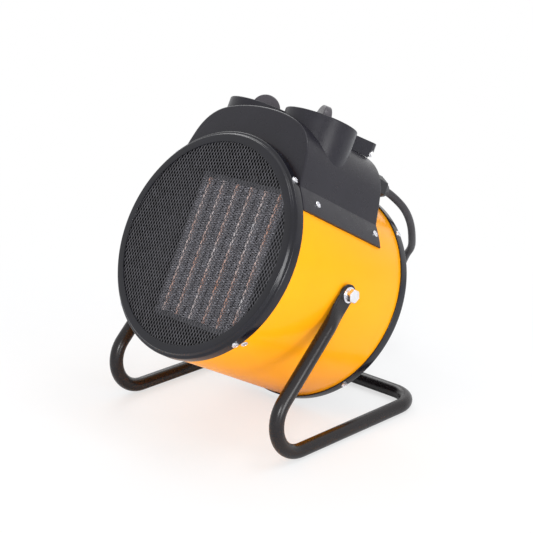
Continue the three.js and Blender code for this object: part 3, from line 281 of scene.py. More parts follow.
def surface(name, colour, rough, metal=0.0, other=None, tint=0.08, tint_mm=30, grain=0.1,
            grain_mm=0.8, spread=0.06, stretch=(1, 1, 1), **sockets):
    """A procedural finish: broad colour variation or painted glints, a roughness variation and a fine
    surface grain.
    """
    mat = bpy.data.materials.new(name)
    mat.use_nodes = True
    nodes, links = mat.node_tree.nodes, mat.node_tree.links
    shader = nodes["Principled BSDF"]
    shader.inputs["Metallic"].default_value = metal
    for socket, value in sockets.items():
        shader.inputs[socket.replace("_", " ")].default_value = value
    place = nodes.new("ShaderNodeTexCoord")
    mapping = nodes.new("ShaderNodeMapping")
    mapping.inputs["Scale"].default_value = stretch
    links.new(place.outputs["Object"], mapping.inputs["Vector"])

    def noise(size_mm, detail):
        node = nodes.new("ShaderNodeTexNoise")
        node.inputs["Scale"].default_value = 1 / (size_mm * MM)
        node.inputs["Detail"].default_value = detail
        links.new(mapping.outputs[0], node.inputs["Vector"])
        return node.outputs["Fac"]

    dark = [c * (1 - tint) for c in other or colour]
    light = [min(1.0, c * (1 + tint)) for c in colour]
    ramp = nodes.new("ShaderNodeValToRGB")
    low, high = ramp.color_ramp.elements
    low.position, low.color = NOISE_LOW, (*dark, 1)
    high.position, high.color = NOISE_HIGH, (*light, 1)
    links.new(noise(tint_mm, 4), ramp.inputs["Fac"])
    links.new(ramp.outputs["Color"], shader.inputs["Base Color"])

    rough_range = nodes.new("ShaderNodeMapRange")
    rough_range.inputs["From Min"].default_value = NOISE_LOW
    rough_range.inputs["From Max"].default_value = NOISE_HIGH
    rough_range.inputs["To Min"].default_value = max(SMOOTHEST, rough - spread)
    rough_range.inputs["To Max"].default_value = rough + spread
    links.new(noise(SPREAD_MM, 3), rough_range.inputs["Value"])
    links.new(rough_range.outputs[0], shader.inputs["Roughness"])

    bump = nodes.new("ShaderNodeBump")
    bump.inputs["Strength"].default_value = grain
    bump.inputs["Distance"].default_value = GRAIN_DEPTH * MM
    links.new(noise(grain_mm, 2), bump.inputs["Height"])
    links.new(bump.outputs["Normal"], shader.inputs["Normal"])
    return mat


YELLOW = surface("yellow_paint", (1.0, 0.375, 0.006), 0.22, tint=0.03, tint_mm=60, grain=0.05,
                 grain_mm=2.4, spread=0.03, Specular_IOR_Level=0.12, Coat_Weight=0.06,
                 Coat_Roughness=0.1)
# near black inside of the drum: painted shade of its deep interior
INSIDE = surface("inside_painted_shade", (0.012, 0.012, 0.013), 0.6, tint=0.3, grain=0.2,
                 Specular_IOR_Level=0.15)
RING = surface("ring_paint", (0.004, 0.004, 0.008), 0.2, tint=0.25, grain=0.05, grain_mm=1.2,
               spread=0.02, Specular_IOR_Level=0.4)
# grille mesh: black paint, with its grey base colour as painted sheen of strands catching light
MESH = surface("mesh_paint_and_sheen", (0.068, 0.066, 0.074), 0.36, tint=0.3, tint_mm=7, grain=0.2,
               grain_mm=0.5, Specular_IOR_Level=0.5)
TUBE_PAINT = surface("tube_paint", (0.007, 0.005, 0.006), 0.27, tint=0.2, grain=0.05, grain_mm=1.5,
                     spread=0.015, Specular_IOR_Level=0.4)
HOOD = surface("hood_plastic", (0.0155, 0.0145, 0.020), 0.3, tint=0.08, grain=0.3, grain_mm=0.45,
               spread=0.05, Specular_IOR_Level=0.3)
KNOB = surface("knob_plastic", (0.060, 0.054, 0.063), 0.3, tint=0.08, grain=0.3, grain_mm=0.4,
               Specular_IOR_Level=0.4)
NYLON = surface("black_nylon", (0.010, 0.010, 0.012), 0.42, tint=0.15, grain=0.15, grain_mm=0.6,
                Specular_IOR_Level=0.4)
RUBBER = surface("cord_rubber", (0.020, 0.017, 0.021), 0.42, tint=0.15, tint_mm=12, grain=0.25,
                 grain_mm=0.5, Specular_IOR_Level=0.5)
CERAMIC = surface("grey_housing", (0.11, 0.11, 0.115), 0.7, grain=0.3)
ZINC = surface("zinc_plate", (0.80, 0.80, 0.84), 0.22, metal=1.0, tint=0.06, tint_mm=5, grain=0.12,
               grain_mm=0.5)
STEEL = surface("plain_steel", (0.42, 0.42, 0.43), 0.38, metal=1.0, tint=0.1, tint_mm=8,
                stretch=(1, 1, 6))
DARK_STEEL = surface("dark_sheet", (0.02, 0.02, 0.022), 0.45, metal=0.2, tint=0.15, grain=0.2,
                     Specular_IOR_Level=0.25)
ALUMINIUM = surface("plain_aluminium", (0.55, 0.56, 0.58), 0.35, metal=0.9, tint=0.1, tint_mm=6)
FRAME = surface("element_sheet", (0.10, 0.10, 0.11), 0.5, metal=0.4, tint=0.1, tint_mm=6)
# fins: the strong, fine colour noise is painted glints of fin edges catching light
FINS_WITH_PAINTED_GLINTS = surface("fin_strip", (0.40, 0.39, 0.43), 0.5, tint=0.92, tint_mm=1.5, grain=0.3,
               grain_mm=1.0, stretch=(1, 1, 0.6))
BARS = surface("heating_bar", (0.95, 0.93, 0.95), 0.45, other=(0.85, 0.42, 0.28), tint=0.05,
               tint_mm=30, grain=0.3, grain_mm=1.2)

# ------------------------------------------------------------------ mesh tools
TINY = 1e-6
SHARP_ANGLE = 32               # degrees between two faces that show an edge
SOFT_STEPS = 3                 # of a rounded edge on a kept CAD node
CURVE_STEPS = 24               # between two points of a curve, before it is evened out
AXIS_B = Matrix.Identity(4)                                                # along the drum
AXIS_U = Matrix(((1, 0, 0, 0), (0, 0, -1, 0), (0, 1, 0, 0), (0, 0, 0, 1)))     # towards the hood


class Shape:
    """Points in millimetres and the faces between them."""

    def __init__(self):
        self.points = []
        self.faces = []

    def add(self, points, faces):
        start = len(self.points)
        self.points.extend(tuple(p) for p in points)
        self.faces.extend(tuple(start + i for i in face) for face in faces)
        return self

    def moved(self, matrix):
        made = Shape()
        made.points = [tuple(matrix @ Vector(p)) for p in self.points]
        made.faces = list(self.faces)
        return made

    def join(self, other):
        return self.add(other.points, other.faces)


def to_mesh(name, shape, place=HEATER):
    """A shape as a mesh in the shared frame, with double points merged and faces outwards."""
    bm = bmesh.new()
    verts = [bm.verts.new(place @ Vector(p)) for p in shape.points]
    for face in shape.faces:
        corners = [verts[i] for i in face]
        if len(set(corners)) > 2:
            bm.faces.new(corners)
    bmesh.ops.remove_doubles(bm, verts=bm.verts, dist=TINY)
    bmesh.ops.recalc_face_normals(bm, faces=bm.faces)
    mesh = bpy.data.meshes.new(name)
    bm.to_mesh(mesh)
    bm.free()
    return mesh


def carve(name, base, steps):
    """Boolean steps (operation, shape) on a shape, as one mesh."""
    temps = []

    def temp(shape):
        obj = bpy.data.objects.new("temp", to_mesh("temp", shape))
        bpy.context.scene.collection.objects.link(obj)
        temps.append(obj)
        return obj

    obj = temp(base)
    for operation, shape in steps:
        mod = obj.modifiers.new("cut", "BOOLEAN")
        mod.solver = "EXACT"
        mod.operation = operation
        mod.object = temp(shape)
    bpy.context.view_layer.update()
    made = bpy.data.meshes.new_from_object(obj.evaluated_get(bpy.context.evaluated_depsgraph_get()))
    made.name = name
    for item in temps:
        bpy.data.objects.remove(item)
    return made


def show(name, mesh, body, material, *nodes, slot, angle=SHARP_ANGLE):
    """Put a mesh in the scene, smooth up to an angle, riding on a body and standing for nodes."""
    obj = bpy.data.objects.new(name, mesh)
    bpy.context.scene.collection.objects.link(obj)
    mesh.polygons.foreach_set("use_smooth", [True] * len(mesh.polygons))
    mesh.materials.clear()
    mesh.materials.append(material)
    mesh.set_sharp_from_angle(angle=math.radians(angle))
    if body:
        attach(obj, body)
    if nodes:
        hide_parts(*nodes)
    return obj


def soften(obj, width):
    """Small rounded edges that catch the light."""
    weld = obj.modifiers.new("weld", "WELD")
    weld.merge_threshold = TINY
    mod = obj.modifiers.new("bevel", "BEVEL")
    mod.width = width * MM
    mod.segments = SOFT_STEPS
    mod.limit_method = "ANGLE"
    mod.angle_limit = math.radians(SHARP_ANGLE)
    mod.use_clamp_overlap = True
    mod.harden_normals = True


def quarter(steps):
    """Angles of a quarter turn, from nothing to a right angle."""
    return [math.pi / 2 * k / steps for k in range(steps + 1)]


def smoothstep(t):
    """Ease from 0 to 1, and hold outside that range."""
    t = min(1, max(0, t))
    return t * t * (3 - 2 * t)


def mirrored(points):
    """The same 2-D points on the other side, in the order that carries on round the section."""
    return [(-x, u) for x, u in reversed(points)]


def rounded(corners, steps=5):
    """Closed 2-D outline; a corner's third value is its radius."""
    out = []
    for i, corner in enumerate(corners):
        here = Vector(corner[:2])
        if len(corner) < 3:
            out.append(here)
            continue
        radius = corner[2]
        back = (Vector(corners[i - 1][:2]) - here).normalized()
        on = (Vector(corners[(i + 1) % len(corners)][:2]) - here).normalized()
        half = back.angle(on) / 2
        centre = here + (back + on).normalized() * radius / math.sin(half)
        start = here + back * radius / math.tan(half) - centre
        end = here + on * radius / math.tan(half) - centre
        turn = math.pi - 2 * half
        for k in range(steps + 1):
            t = k / steps
            arm = start * math.sin((1 - t) * turn) + end * math.sin(t * turn)
            out.append(centre + arm / math.sin(turn))
    return out


def lathe(profile, sides, axis=AXIS_B, at=(0, 0, 0)):
    """Closed profile (radius, length along the axis) turned about the axis through a point."""
    points = []
    for k in range(sides):
        a = 2 * math.pi * k / sides
        points.extend(Vector((r * math.sin(a), h, r * math.cos(a))) for r, h in profile)
    count = len(profile)
    faces = []
    for k in range(sides):
        here, following = k * count, (k + 1) % sides * count
        for i in range(count):
            j = (i + 1) % count
            on_axis = profile[i][0] < TINY, profile[j][0] < TINY
            if all(on_axis):
                continue
            face = [here + i, here + j, following + j, following + i]
            if on_axis[0]:
                face.pop(3)
            elif on_axis[1]:
                face.pop(2)
            faces.append(face)
    return Shape().add(points, faces).moved(Matrix.Translation(at) @ axis)


def loft(sections, cap=True):
    """Closed sections of equal length joined in order."""
    count = len(sections[0])
    last = (len(sections) - 1) * count
    faces = []
    for s in range(0, last, count):
        for i in range(count):
            j = (i + 1) % count
            faces.append((s + i, s + j, s + count + j, s + count + i))
    if cap:
        faces.append(tuple(range(count)))
        faces.append(tuple(last + i for i in range(count)))
    return Shape().add([p for section in sections for p in section], faces)


def block(x0, x1, b0, b1, u0, u1):
    """Box between two values of each coordinate."""
    ring = [(x0, u0), (x1, u0), (x1, u1), (x0, u1)]
    return loft([[(x, b, u) for x, u in ring] for b in (b0, b1)])


def circle(centre, side, other, radius, sides):
    """Points of a circle in the plane of two directions."""
    turns = (2 * math.pi * k / sides for k in range(sides))
    return [centre + (side * math.cos(a) + other * math.sin(a)) * radius for a in turns]


def tube(points, radius):
    """Round tube along points, with a section that doesn't twist."""
    pts = [Vector(p) for p in points]
    side = (pts[1] - pts[0]).normalized().orthogonal().normalized()
    sections = []
    for i, p in enumerate(pts):
        way = (pts[min(i + 1, len(pts) - 1)] - pts[max(i - 1, 0)]).normalized()
        side = (side - way * side.dot(way)).normalized()
        sections.append(circle(p, side, way.cross(side), radius, CORD_SIDES))
    return loft(sections)


def even(points, step):
    """Points at about even steps along a line of points."""
    points = np.array(points)
    run = np.concatenate([[0], np.cumsum(np.linalg.norm(np.diff(points, axis=0), axis=1))])
    count = max(2, round(run[-1] / step))
    marks = np.linspace(0, run[-1], count + 1)
    return np.stack([np.interp(marks, run, points[:, k]) for k in range(3)], axis=1)


def catmull(points, step):
    """Centripetal curve through points, at about even steps along it."""
    pts = [np.array(p, float) for p in points]
    pts = [2 * pts[0] - pts[1], *pts, 2 * pts[-1] - pts[-2]]

    def blend(t, ta, a, tb, b):
        return (tb - t) / (tb - ta) * a + (t - ta) / (tb - ta) * b

    fine = []
    for p0, p1, p2, p3 in zip(pts, pts[1:], pts[2:], pts[3:]):
        knots = [0.0]
        for a, b in ((p0, p1), (p1, p2), (p2, p3)):
            knots.append(knots[-1] + math.sqrt(np.linalg.norm(b - a)))
        t0, t1, t2, t3 = knots
        for t in np.linspace(t1, t2, CURVE_STEPS, endpoint=False):
            first, middle = blend(t, t0, p0, t1, p1), blend(t, t1, p1, t2, p2)
            last = blend(t, t2, p2, t3, p3)
            fine.append(blend(t, t1, blend(t, t0, first, t2, middle),
                              t2, blend(t, t1, middle, t3, last)))
    fine.append(pts[-2])
    return even(fine, step)


# ------------------------------------------------------------------ mains lead, first of all pieces
def in_floor(x, b, u):
    """A point of the heater's frame in the floor frame."""
    c, s = math.cos(TILT), math.sin(TILT)
    return np.array([x, b * c + u * s, PIVOT_H - b * s + u * c])


def heading(deg):
    """Way in which the coil runs at a turn."""
    return np.array([-math.cos(math.radians(deg)), -math.sin(math.radians(deg)), 0])


def coil_point(deg):
    """Inwards on the floor, then outwards on top: the radius is least half way."""
    turns = deg / 360
    r = COIL_OUT - COIL_PITCH * min(turns, COIL_TURNS - turns)
    climb = smoothstep((turns - (COIL_TURNS - COIL_CLIMB) / 2) / COIL_CLIMB)
    a = math.radians(COIL_START + deg)
    return np.array([COIL_X - r * math.sin(a), COIL_Y + r * math.cos(a),
                     COIL_Z + COIL_PITCH * climb])


def make_cord():
    """The lead from its gland down to the coil on the floor, in one piece."""
    coil_end = COIL_TURNS * 360
    coil_step = 6
    head_in, head_out = heading(COIL_START), heading(COIL_START + coil_end)
    coil = [coil_point(deg) for deg in np.linspace(0, coil_end, round(coil_end / coil_step) + 1)]
    meet = coil[0] - head_in * CORD
    stop = coil[-1] + head_out * CORD
    start = in_floor(GLAND_X, HOOD_REAR + GLAND_IN, GLAND_U)
    mouth = in_floor(GLAND_X, GLAND_END, GLAND_U)
    past_mouth = in_floor(GLAND_X, GLAND_END + CORD_STRAIGHT, GLAND_U)
    landing = [np.array([*(meet - head_in * distance)[:2], z]) for distance, z in LANDING]
    lead = catmull([start, mouth, past_mouth, *LEAD_ROUTE, *landing, meet], CORD_STEP)
    points = even([*lead, *coil, stop], CORD_STEP)
    obj = show("mains_cord", to_mesh("mains_cord", tube(points, CORD / 2), FLOOR), None,
               RUBBER, "cord_lead", "cord_coil", slot="rubber", angle=60)
    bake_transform(obj)


make_cord()


# ------------------------------------------------------------------ drum, rings and screws
def screw_head(deg, b, radius):
    """Domed head with a cross recess, standing on a radius of the drum."""
    rings, sides = 9, 40
    first_angle = math.radians(20)     # where the points of each ring start
    slot_half, slot_reach = 0.42, SCREW_R * 0.56
    slot_h, middle_h = SCREW_H * 0.45, SCREW_H * 0.55
    flatness, edge, sunk = 2.6, 0.86, 0.4
    out = Vector((*polar(1, deg), 0)).xzy
    along = Vector((0, 1, 0))
    across = out.cross(along)
    foot = out * radius + along * b
    angles = [2 * math.pi * j / sides + first_angle for j in range(sides)]
    points = [foot + out * middle_h]
    for k in range(1, rings + 1):
        r = SCREW_R * k / rings
        dome = SCREW_H * math.sqrt(1 - (edge * k / rings) ** flatness)
        for t in angles:
            x, y = r * math.cos(t), r * math.sin(t)
            in_cross = min(abs(x), abs(y)) < slot_half and max(abs(x), abs(y)) < slot_reach
            points.append(foot + across * x + along * y + out * (slot_h if in_cross else dome))
    points.extend(foot + across * SCREW_R * math.cos(t) + along * SCREW_R * math.sin(t) - out * sunk
                  for t in angles)
    faces = [(0, 1 + j, 1 + (j + 1) % sides) for j in range(sides)]
    for p in range(1, 1 + rings * sides, sides):
        for j in range(sides):
            n = (j + 1) % sides
            faces.append((p + j, p + sides + j, p + sides + n, p + n))
    return Shape().add(points, faces)


def screws(name, places):
    """Screw heads as one piece; a place is (degrees from the crown, b, radius)."""
    shape = Shape()
    for place in places:
        shape.join(screw_head(*place))
    show(name, to_mesh(name, shape), "heater", ZINC, slot="zinc", angle=40)


def make_drum():
    """Rolled sheet, yellow outside and near black inside, the inside's colour being painted shade of
    the deep drum.
    """
    front = LIP_B + RING_T + DRUM_IN
    rear = REAR_B - RING_T - GRILLE_T - SHEET_GAP
    edge = 0.4
    profile = rounded([(DRUM_R - DRUM_T, front), (DRUM_R, front, edge), (DRUM_R, rear, edge),
                       (DRUM_R - DRUM_T, rear)], 3)
    drum = show("drum", to_mesh("drum", lathe(profile, ROUND)), "heater", YELLOW, "drum_shell",
                slot="yellow_paint", angle=40)
    drum.data.materials.append(INSIDE)
    # faces inside the drum get the near black painted-shade material
    for face in drum.data.polygons:
        place = HEATER.inverted() @ face.center
        if math.hypot(place.x, place.z) < DRUM_R - DRUM_T / 2:
            face.material_index = 1
    screws("baffle_screws", [(s * BRACE_SCREW, SKIRT_B + BRACE_IN, DRUM_R) for s in (1, -1)])


def make_ring(name, profile, node):
    """Pressed ring from the corners of its section; a third value rounds a corner."""
    show(name, to_mesh(name, lathe(rounded(profile), ROUND)), "heater", RING, node,
         slot="black_paint", angle=50)


def make_rings():
    """Front ring with crest and chamfer, flat rear ring, and four screws in each skirt."""
    inner = RING_R - RING_T
    make_ring("front_ring_skin", [
        (OPEN_R, FACE_B, 0.5), (CREST_R, FACE_B, 1.6), (CREST_R + CHAMFER, CHAMFER_B, 1.2),
        (RING_R - 0.5, LIP_B, 1.3), (RING_R, SKIRT_B, 0.3), (inner, SKIRT_B, 0.3),
        (inner, LIP_B + RING_T + 0.4, 0.4), (CREST_R + 0.6, CHAMFER_B + RING_T, 0.6),
        (CREST_R - 1, FACE_B + RING_T, 0.8), (OPEN_R, FACE_B + RING_T, 0.5)], "front_ring")
    make_ring("rear_ring_skin", [
        (inner, REAR_SKIRT_B, 0.3), (RING_R, REAR_SKIRT_B, 0.5), (RING_R, REAR_B, 1.8),
        (REAR_OPEN_R, REAR_B, 0.5), (REAR_OPEN_R, REAR_B - RING_T, 0.5),
        (inner, REAR_B - RING_T, 0.8)], "rear_ring")
    screws("front_ring_screws", [(a, (LIP_B + SKIRT_B) / 2, RING_R) for a in RING_SCREWS])
    screws("rear_ring_screws", [(a, (REAR_SKIRT_B + REAR_B) / 2, RING_R) for a in RING_SCREWS])


def mesh_diamond(x0, u0, front):
    """One diamond of the expanded mesh: eight points round it, and eight round its opening."""
    x, u = MESH_X / 2, MESH_U / 2
    outer = [(x, 0), (x / 2, u / 2), (0, u), (-x / 2, u / 2),
             (-x, 0), (-x / 2, -u / 2), (0, -u), (x / 2, -u / 2)]
    full, short = 1.12, 0.96           # the opening's sides bulge and its points are cut short
    rim, lip, back = [], [], []
    for i, (px, pu) in enumerate(outer):
        wide, high = (full, full) if i % 2 else (1, short)
        ix, iu = px * MESH_OPEN * wide, pu * MESH_OPEN * high
        rim.append((x0 + px, u0 + pu, MESH_FACE))
        lip.append((x0 + ix, u0 + iu, MESH_FACE + MESH_TWIST * iu / u))
        back.append((x0 + ix, u0 + iu, GRILLE_T - SHEET_GAP))
    c, s = math.cos(MESH_TURN), math.sin(MESH_TURN)
    points = [(px * c - pu * s, front + b, px * s + pu * c) for px, pu, b in rim + lip + back]
    around = [(i, (i + 1) % 8) for i in range(8)]
    faces = [(i, j, 8 + j, 8 + i) for i, j in around]
    faces += [(8 + i, 8 + j, 16 + j, 16 + i) for i, j in around]
    return Shape().add(points, faces)


def make_grille():
    """Expanded mesh of staggered diamonds, with a closed rim."""
    front = FACE_B + RING_T + SHEET_GAP
    reach = GRILLE_R - MESH_EDGE
    rows = int(2 * GRILLE_R / (MESH_U / 2)) + 2
    cols = int(GRILLE_R / MESH_X) + 1
    shape = Shape()
    for row in range(-rows // 2, rows // 2 + 1):
        for col in range(-cols, cols + 1):
            x0, u0 = (col + row % 2 / 2) * MESH_X, row * MESH_U / 2
            if math.hypot(x0, u0) <= reach:
                shape.join(mesh_diamond(x0, u0, front))
    rim_in, rim_front, rim_back = reach - 2, front + 0.3, front + GRILLE_T - SHEET_GAP
    shape.join(lathe([(rim_in, rim_front), (GRILLE_R, rim_front), (GRILLE_R, rim_back),
                      (rim_in, rim_back)], 96))
    show("front_mesh", to_mesh("front_mesh", shape), "heater", MESH, "front_grille",
         slot="black_paint", angle=50)


make_drum()
make_rings()
make_grille()


# ------------------------------------------------------------------ control hood
def offset(points, distance):
    """Open line moved outwards, to its left."""
    out = []
    for i, p in enumerate(points):
        a, b = points[max(0, i - 1)], points[min(len(points) - 1, i + 1)]
        dx, du = b[0] - a[0], b[1] - a[1]
        length = math.hypot(dx, du)
        out.append((p[0] + distance * du / length, p[1] - distance * dx / length))
    return out


def hood_line():
    """Crest of the hood's section from the right crease over the crown to the left one."""
    half = [(crease[0] + x, 0, crease[1] + u) for x, u in HOOD_STEPS]
    whole = half + [(-x, 0, u) for x, _, u in reversed(half[:-1])]
    length = sum(math.dist(a, b) for a, b in zip(whole, whole[1:]))
    return [(p[0], p[2]) for p in catmull(whole, length / (2 * HOOD_STEPS_PER_SIDE))]


def lean(x, b, u):
    """The front's draft, which ends at the rear, and the crown's rise, which starts at the front."""
    back = (b - HOOD_FRONT) / (HOOD_REAR - HOOD_FRONT)
    up = max(0, (u - CROWN + DRAFT_FOOT) / DRAFT_FOOT)
    high = max(0, (u - CROWN + RISE_FOOT) / RISE_FOOT)
    rise = HOOD_RISE * high * back if math.hypot(x, u) > HOOD_SEAT + 1 else 0
    return (x, b + HOOD_DRAFT * up * (1 - back), u + rise)


def hood_saddle(crest):
    """Solid hood without its towers, reaching into the drum's place, with rounded ends."""
    flange_steps, into_drum = 6, 3
    flange = [polar(HOOD_SEAT + FLANGE_T, FLANGE_TIP + (FLANGE_ROOT - FLANGE_TIP) * i / flange_steps)
              for i in range(flange_steps)]
    outside = flange + crest + mirrored(flange)
    under = [polar(HOOD_SEAT - into_drum, FLANGE_TIP * t) for t in np.linspace(-1, 1, 9)]
    stations = [(HOOD_FRONT + HOOD_ROUND_FRONT * (1 - math.sin(t)),
                 HOOD_ROUND_FRONT * (1 - math.cos(t))) for t in reversed(quarter(LIP_ARC))]
    stations += [(HOOD_FRONT + (HOOD_REAR - HOOD_FRONT) * t, 0) for t in (0.25, 0.5, 0.75)]
    stations += [(HOOD_REAR - HOOD_ROUND_REAR * (1 - math.sin(t)),
                  HOOD_ROUND_REAR * (1 - math.cos(t))) for t in quarter(LIP_ARC)]
    return loft([[lean(x, b, u) for x, u in offset(outside, -inset) + under]
                 for b, inset in stations])


def hood_cavity(crest):
    """Space under the shell, up to the ceiling below the wells."""
    inner = offset(crest, -HOOD_WALL)
    foot = inner[0][0] + SEAT
    leg_top = crease[1] + 1.7
    legs = [(foot, crease[1] - CAVITY_FOOT), (foot, leg_top)]
    room = legs + inner[2:-2] + mirrored(legs)
    sections = []
    for b in (HOOD_FRONT + HOOD_WALL, HOOD_REAR - HOOD_WALL):
        leant = [lean(x, b, u) for x, u in room]
        sections.append([(x, b1, min(u, CEILING)) for x, b1, u in leant])
    return loft(sections)


def well_cutters(at):
    """Flared well over a shaft hole, round the axis of a knob."""
    corner, middle = 1, 0.3            # rounded foot of the well's wall, and half way round it
    over, under = WELL_RIM + 4, CEILING - 2
    flare_top = WELL_RIM + 0.02
    flare = [(WELL_IN + WELL_FLARE * (1 - math.cos(t)),
              flare_top - WELL_FLARE * (1 - math.sin(t))) for t in quarter(LIP_ARC)]
    well = [(0, WELL_FLOOR), (WELL_IN - corner, WELL_FLOOR), (WELL_IN - middle, WELL_FLOOR + middle),
            (WELL_IN, WELL_FLOOR + corner), *flare, (WELL_IN + WELL_FLARE, over), (0, over)]
    bore = [(0, under), (SHAFT_HOLE, under), (SHAFT_HOLE, WELL_RIM), (0, WELL_RIM)]
    return [("DIFFERENCE", lathe(well, 144, AXIS_U, at)),
            ("DIFFERENCE", lathe(bore, 24, AXIS_U, at))]


def make_hood():
    """Saddle and two towers, hollow underneath, with wells, shaft holes and the gland's hole."""
    crest = hood_line()
    wells = [(x, KNOB_B, 0) for x in (-KNOB_X, KNOB_X)]
    foot, lip = WELL_RIM - TOWER_H, 1.1
    tower = rounded([(0, foot), (WELL_R, foot), (WELL_R, WELL_RIM, lip), (0, WELL_RIM)], LIP_ARC)
    front, rear = HOOD_FRONT - 5, HOOD_REAR + 5
    bowl = [(0, front), (HOOD_SEAT, front), (HOOD_SEAT, rear), (0, rear)]
    near, far = HOOD_REAR - 8, HOOD_REAR + 4
    thread = [(0, near), (GLAND_HOLE, near), (GLAND_HOLE, far), (0, far)]
    steps = [("UNION", lathe(tower, 144, AXIS_U, at)) for at in wells]
    steps.append(("DIFFERENCE", hood_cavity(crest)))
    steps.append(("DIFFERENCE", lathe(bowl, ROUND)))
    for at in wells:
        steps.extend(well_cutters(at))
    steps.append(("DIFFERENCE", lathe(thread, 40, AXIS_B, (GLAND_X, 0, GLAND_U))))
    show("hood_shell", carve("hood_shell", hood_saddle(crest), steps), "heater", HOOD,
         "control_hood", slot="grey_plastic", angle=12)
    ends = (HOOD_FRONT + HOOD_SCREW_FRONT, HOOD_REAR - HOOD_SCREW_REAR)
    screws("hood_screws", [(s * HOOD_SCREW, b, HOOD_SEAT + FLANGE_T) for s in (-1, 1) for b in ends])


make_hood()


# ------------------------------------------------------------------ knobs
def knob_grip(z1):
    """Half disc on edge, thinner towards its top, with rounded edges."""
    arc = [(GRIP_R * math.cos(a), z1 + GRIP_LIFT + GRIP_R * math.sin(a))
           for a in (math.pi * i / 28 for i in range(29))]
    outline = [(-GRIP_R, z1 - 0.6), (GRIP_R, z1 - 0.6), *arc]

    def face(side, t):
        inset, depth = GRIP_EDGE * (1 - math.cos(t)), GRIP_EDGE * (1 - math.sin(t))
        made = []
        for x, u in outline:
            high = max(0, (u - z1) / (GRIP_LIFT + GRIP_R))
            half = GRIP_T / 2 * (1 - GRIP_TAPER * high) - depth
            shrink = 1 - inset / GRIP_R if u > z1 else 1
            made.append((x * shrink, side * half, z1 + (u - z1) * shrink))
        return made

    near = [face(-1, t) for t in reversed(quarter(4))]
    far = [face(1, t) for t in quarter(4)]
    return loft(near + far)


def pointer_ridge(z1):
    """Low ridge on the skirt, from the grip towards the knob's edge."""
    inner, outer = GRIP_R - 1, KNOB_R - 3
    foot, top = z1 - 0.4, z1 + 0.9
    wide, narrow = 1.1, 0.8            # half widths
    outline = ((inner, foot, wide), (outer, foot, wide), (outer - 0.6, top, narrow),
               (inner, top, narrow))
    return loft([[(x, side * half, u) for x, u, half in outline] for side in (-1, 1)])


def make_knob(name, x, turn):
    """Skirted knob with its grip and pointer, turned by degrees about its shaft."""
    z0 = WELL_FLOOR + KNOB_GAP
    z1 = z0 + SKIRT_H
    skirt = rounded([(SHAFT_HOLE, z0), (KNOB_R, z0, 0.6), (KNOB_R, z1, 1.4), (SHAFT_HOLE, z1)])
    shape = lathe(skirt, 128, AXIS_U).join(knob_grip(z1)).join(pointer_ridge(z1))
    place = HEATER @ Matrix.Translation((x, KNOB_B, 0)) @ Matrix.Rotation(math.radians(turn), 4, "Z")
    show(name + "_cap", to_mesh(name + "_cap", shape, place), name, KNOB, name,
         slot="grey_plastic", angle=34)


make_knob("thermostat_knob", -KNOB_X, 45)
make_knob("selector_knob", KNOB_X, -32)


# ------------------------------------------------------------------ heating element
def fin_strip(x0, wide, fin0, fin1):
    """Zigzag of thin sheet between two bars, closed at the front only."""
    left, right = [], []
    for k in range(FIN_FOLDS * 2 + 1):
        u = fin0 + (fin1 - fin0) * k / (FIN_FOLDS * 2)
        edge = x0 + (wide if k % 2 else 0)
        left.append((edge, u - FIN_HALF))
        right.append((edge, u + FIN_HALF))
    ends = (ELEM_FRONT, ELEM_FRONT + ELEM_DEPTH)
    strip = loft([[(x, b, u) for x, u in left + right[::-1]] for b in ends], cap=False)
    count = len(left)
    front = [(x, ELEM_FRONT, u) for x, u in left + right]
    return strip.add(front, [(k, k + 1, count + k + 1, count + k) for k in range(count - 1)])


def make_element():
    """Six ceramic bars, each between two fin strips."""
    fin0, fin1 = ELEM_BOTTOM + ELEM_CAP + SEAT, ELEM_TOP - ELEM_CAP - SEAT
    wide = (ELEM_PITCH - BAR_T) / 2 - SHEET_GAP - FIN_GAP
    for i in range(ELEM_UNITS):
        x = (i - (ELEM_UNITS - 1) / 2) * ELEM_PITCH
        name = f"heating_unit_{i + 1}"
        bar = block(x - BAR_T / 2, x + BAR_T / 2, ELEM_FRONT - SHEET_GAP,
                    ELEM_FRONT + ELEM_DEPTH - BAR_BACK, fin0, fin1)
        show(name + "_bar", to_mesh(name + "_bar", bar), "heater", BARS, slot="element")
        fins = fin_strip(x - ELEM_PITCH / 2 + SHEET_GAP, wide, fin0, fin1)
        fins.join(fin_strip(x + BAR_T / 2 + FIN_GAP, wide, fin0, fin1))
        show(name + "_fins", to_mesh(name + "_fins", fins), "heater", FINS_WITH_PAINTED_GLINTS, name, slot="element")


make_element()

# ------------------------------------------------------------------ stand
LINE_Z = TUBE / 2
LEG_RUN = math.hypot(STAND_FRONT, PIVOT_H - LINE_Z)
LEG = (STAND_FRONT / LEG_RUN, (LINE_Z - PIVOT_H) / LEG_RUN)    # way down the leg, in y and z


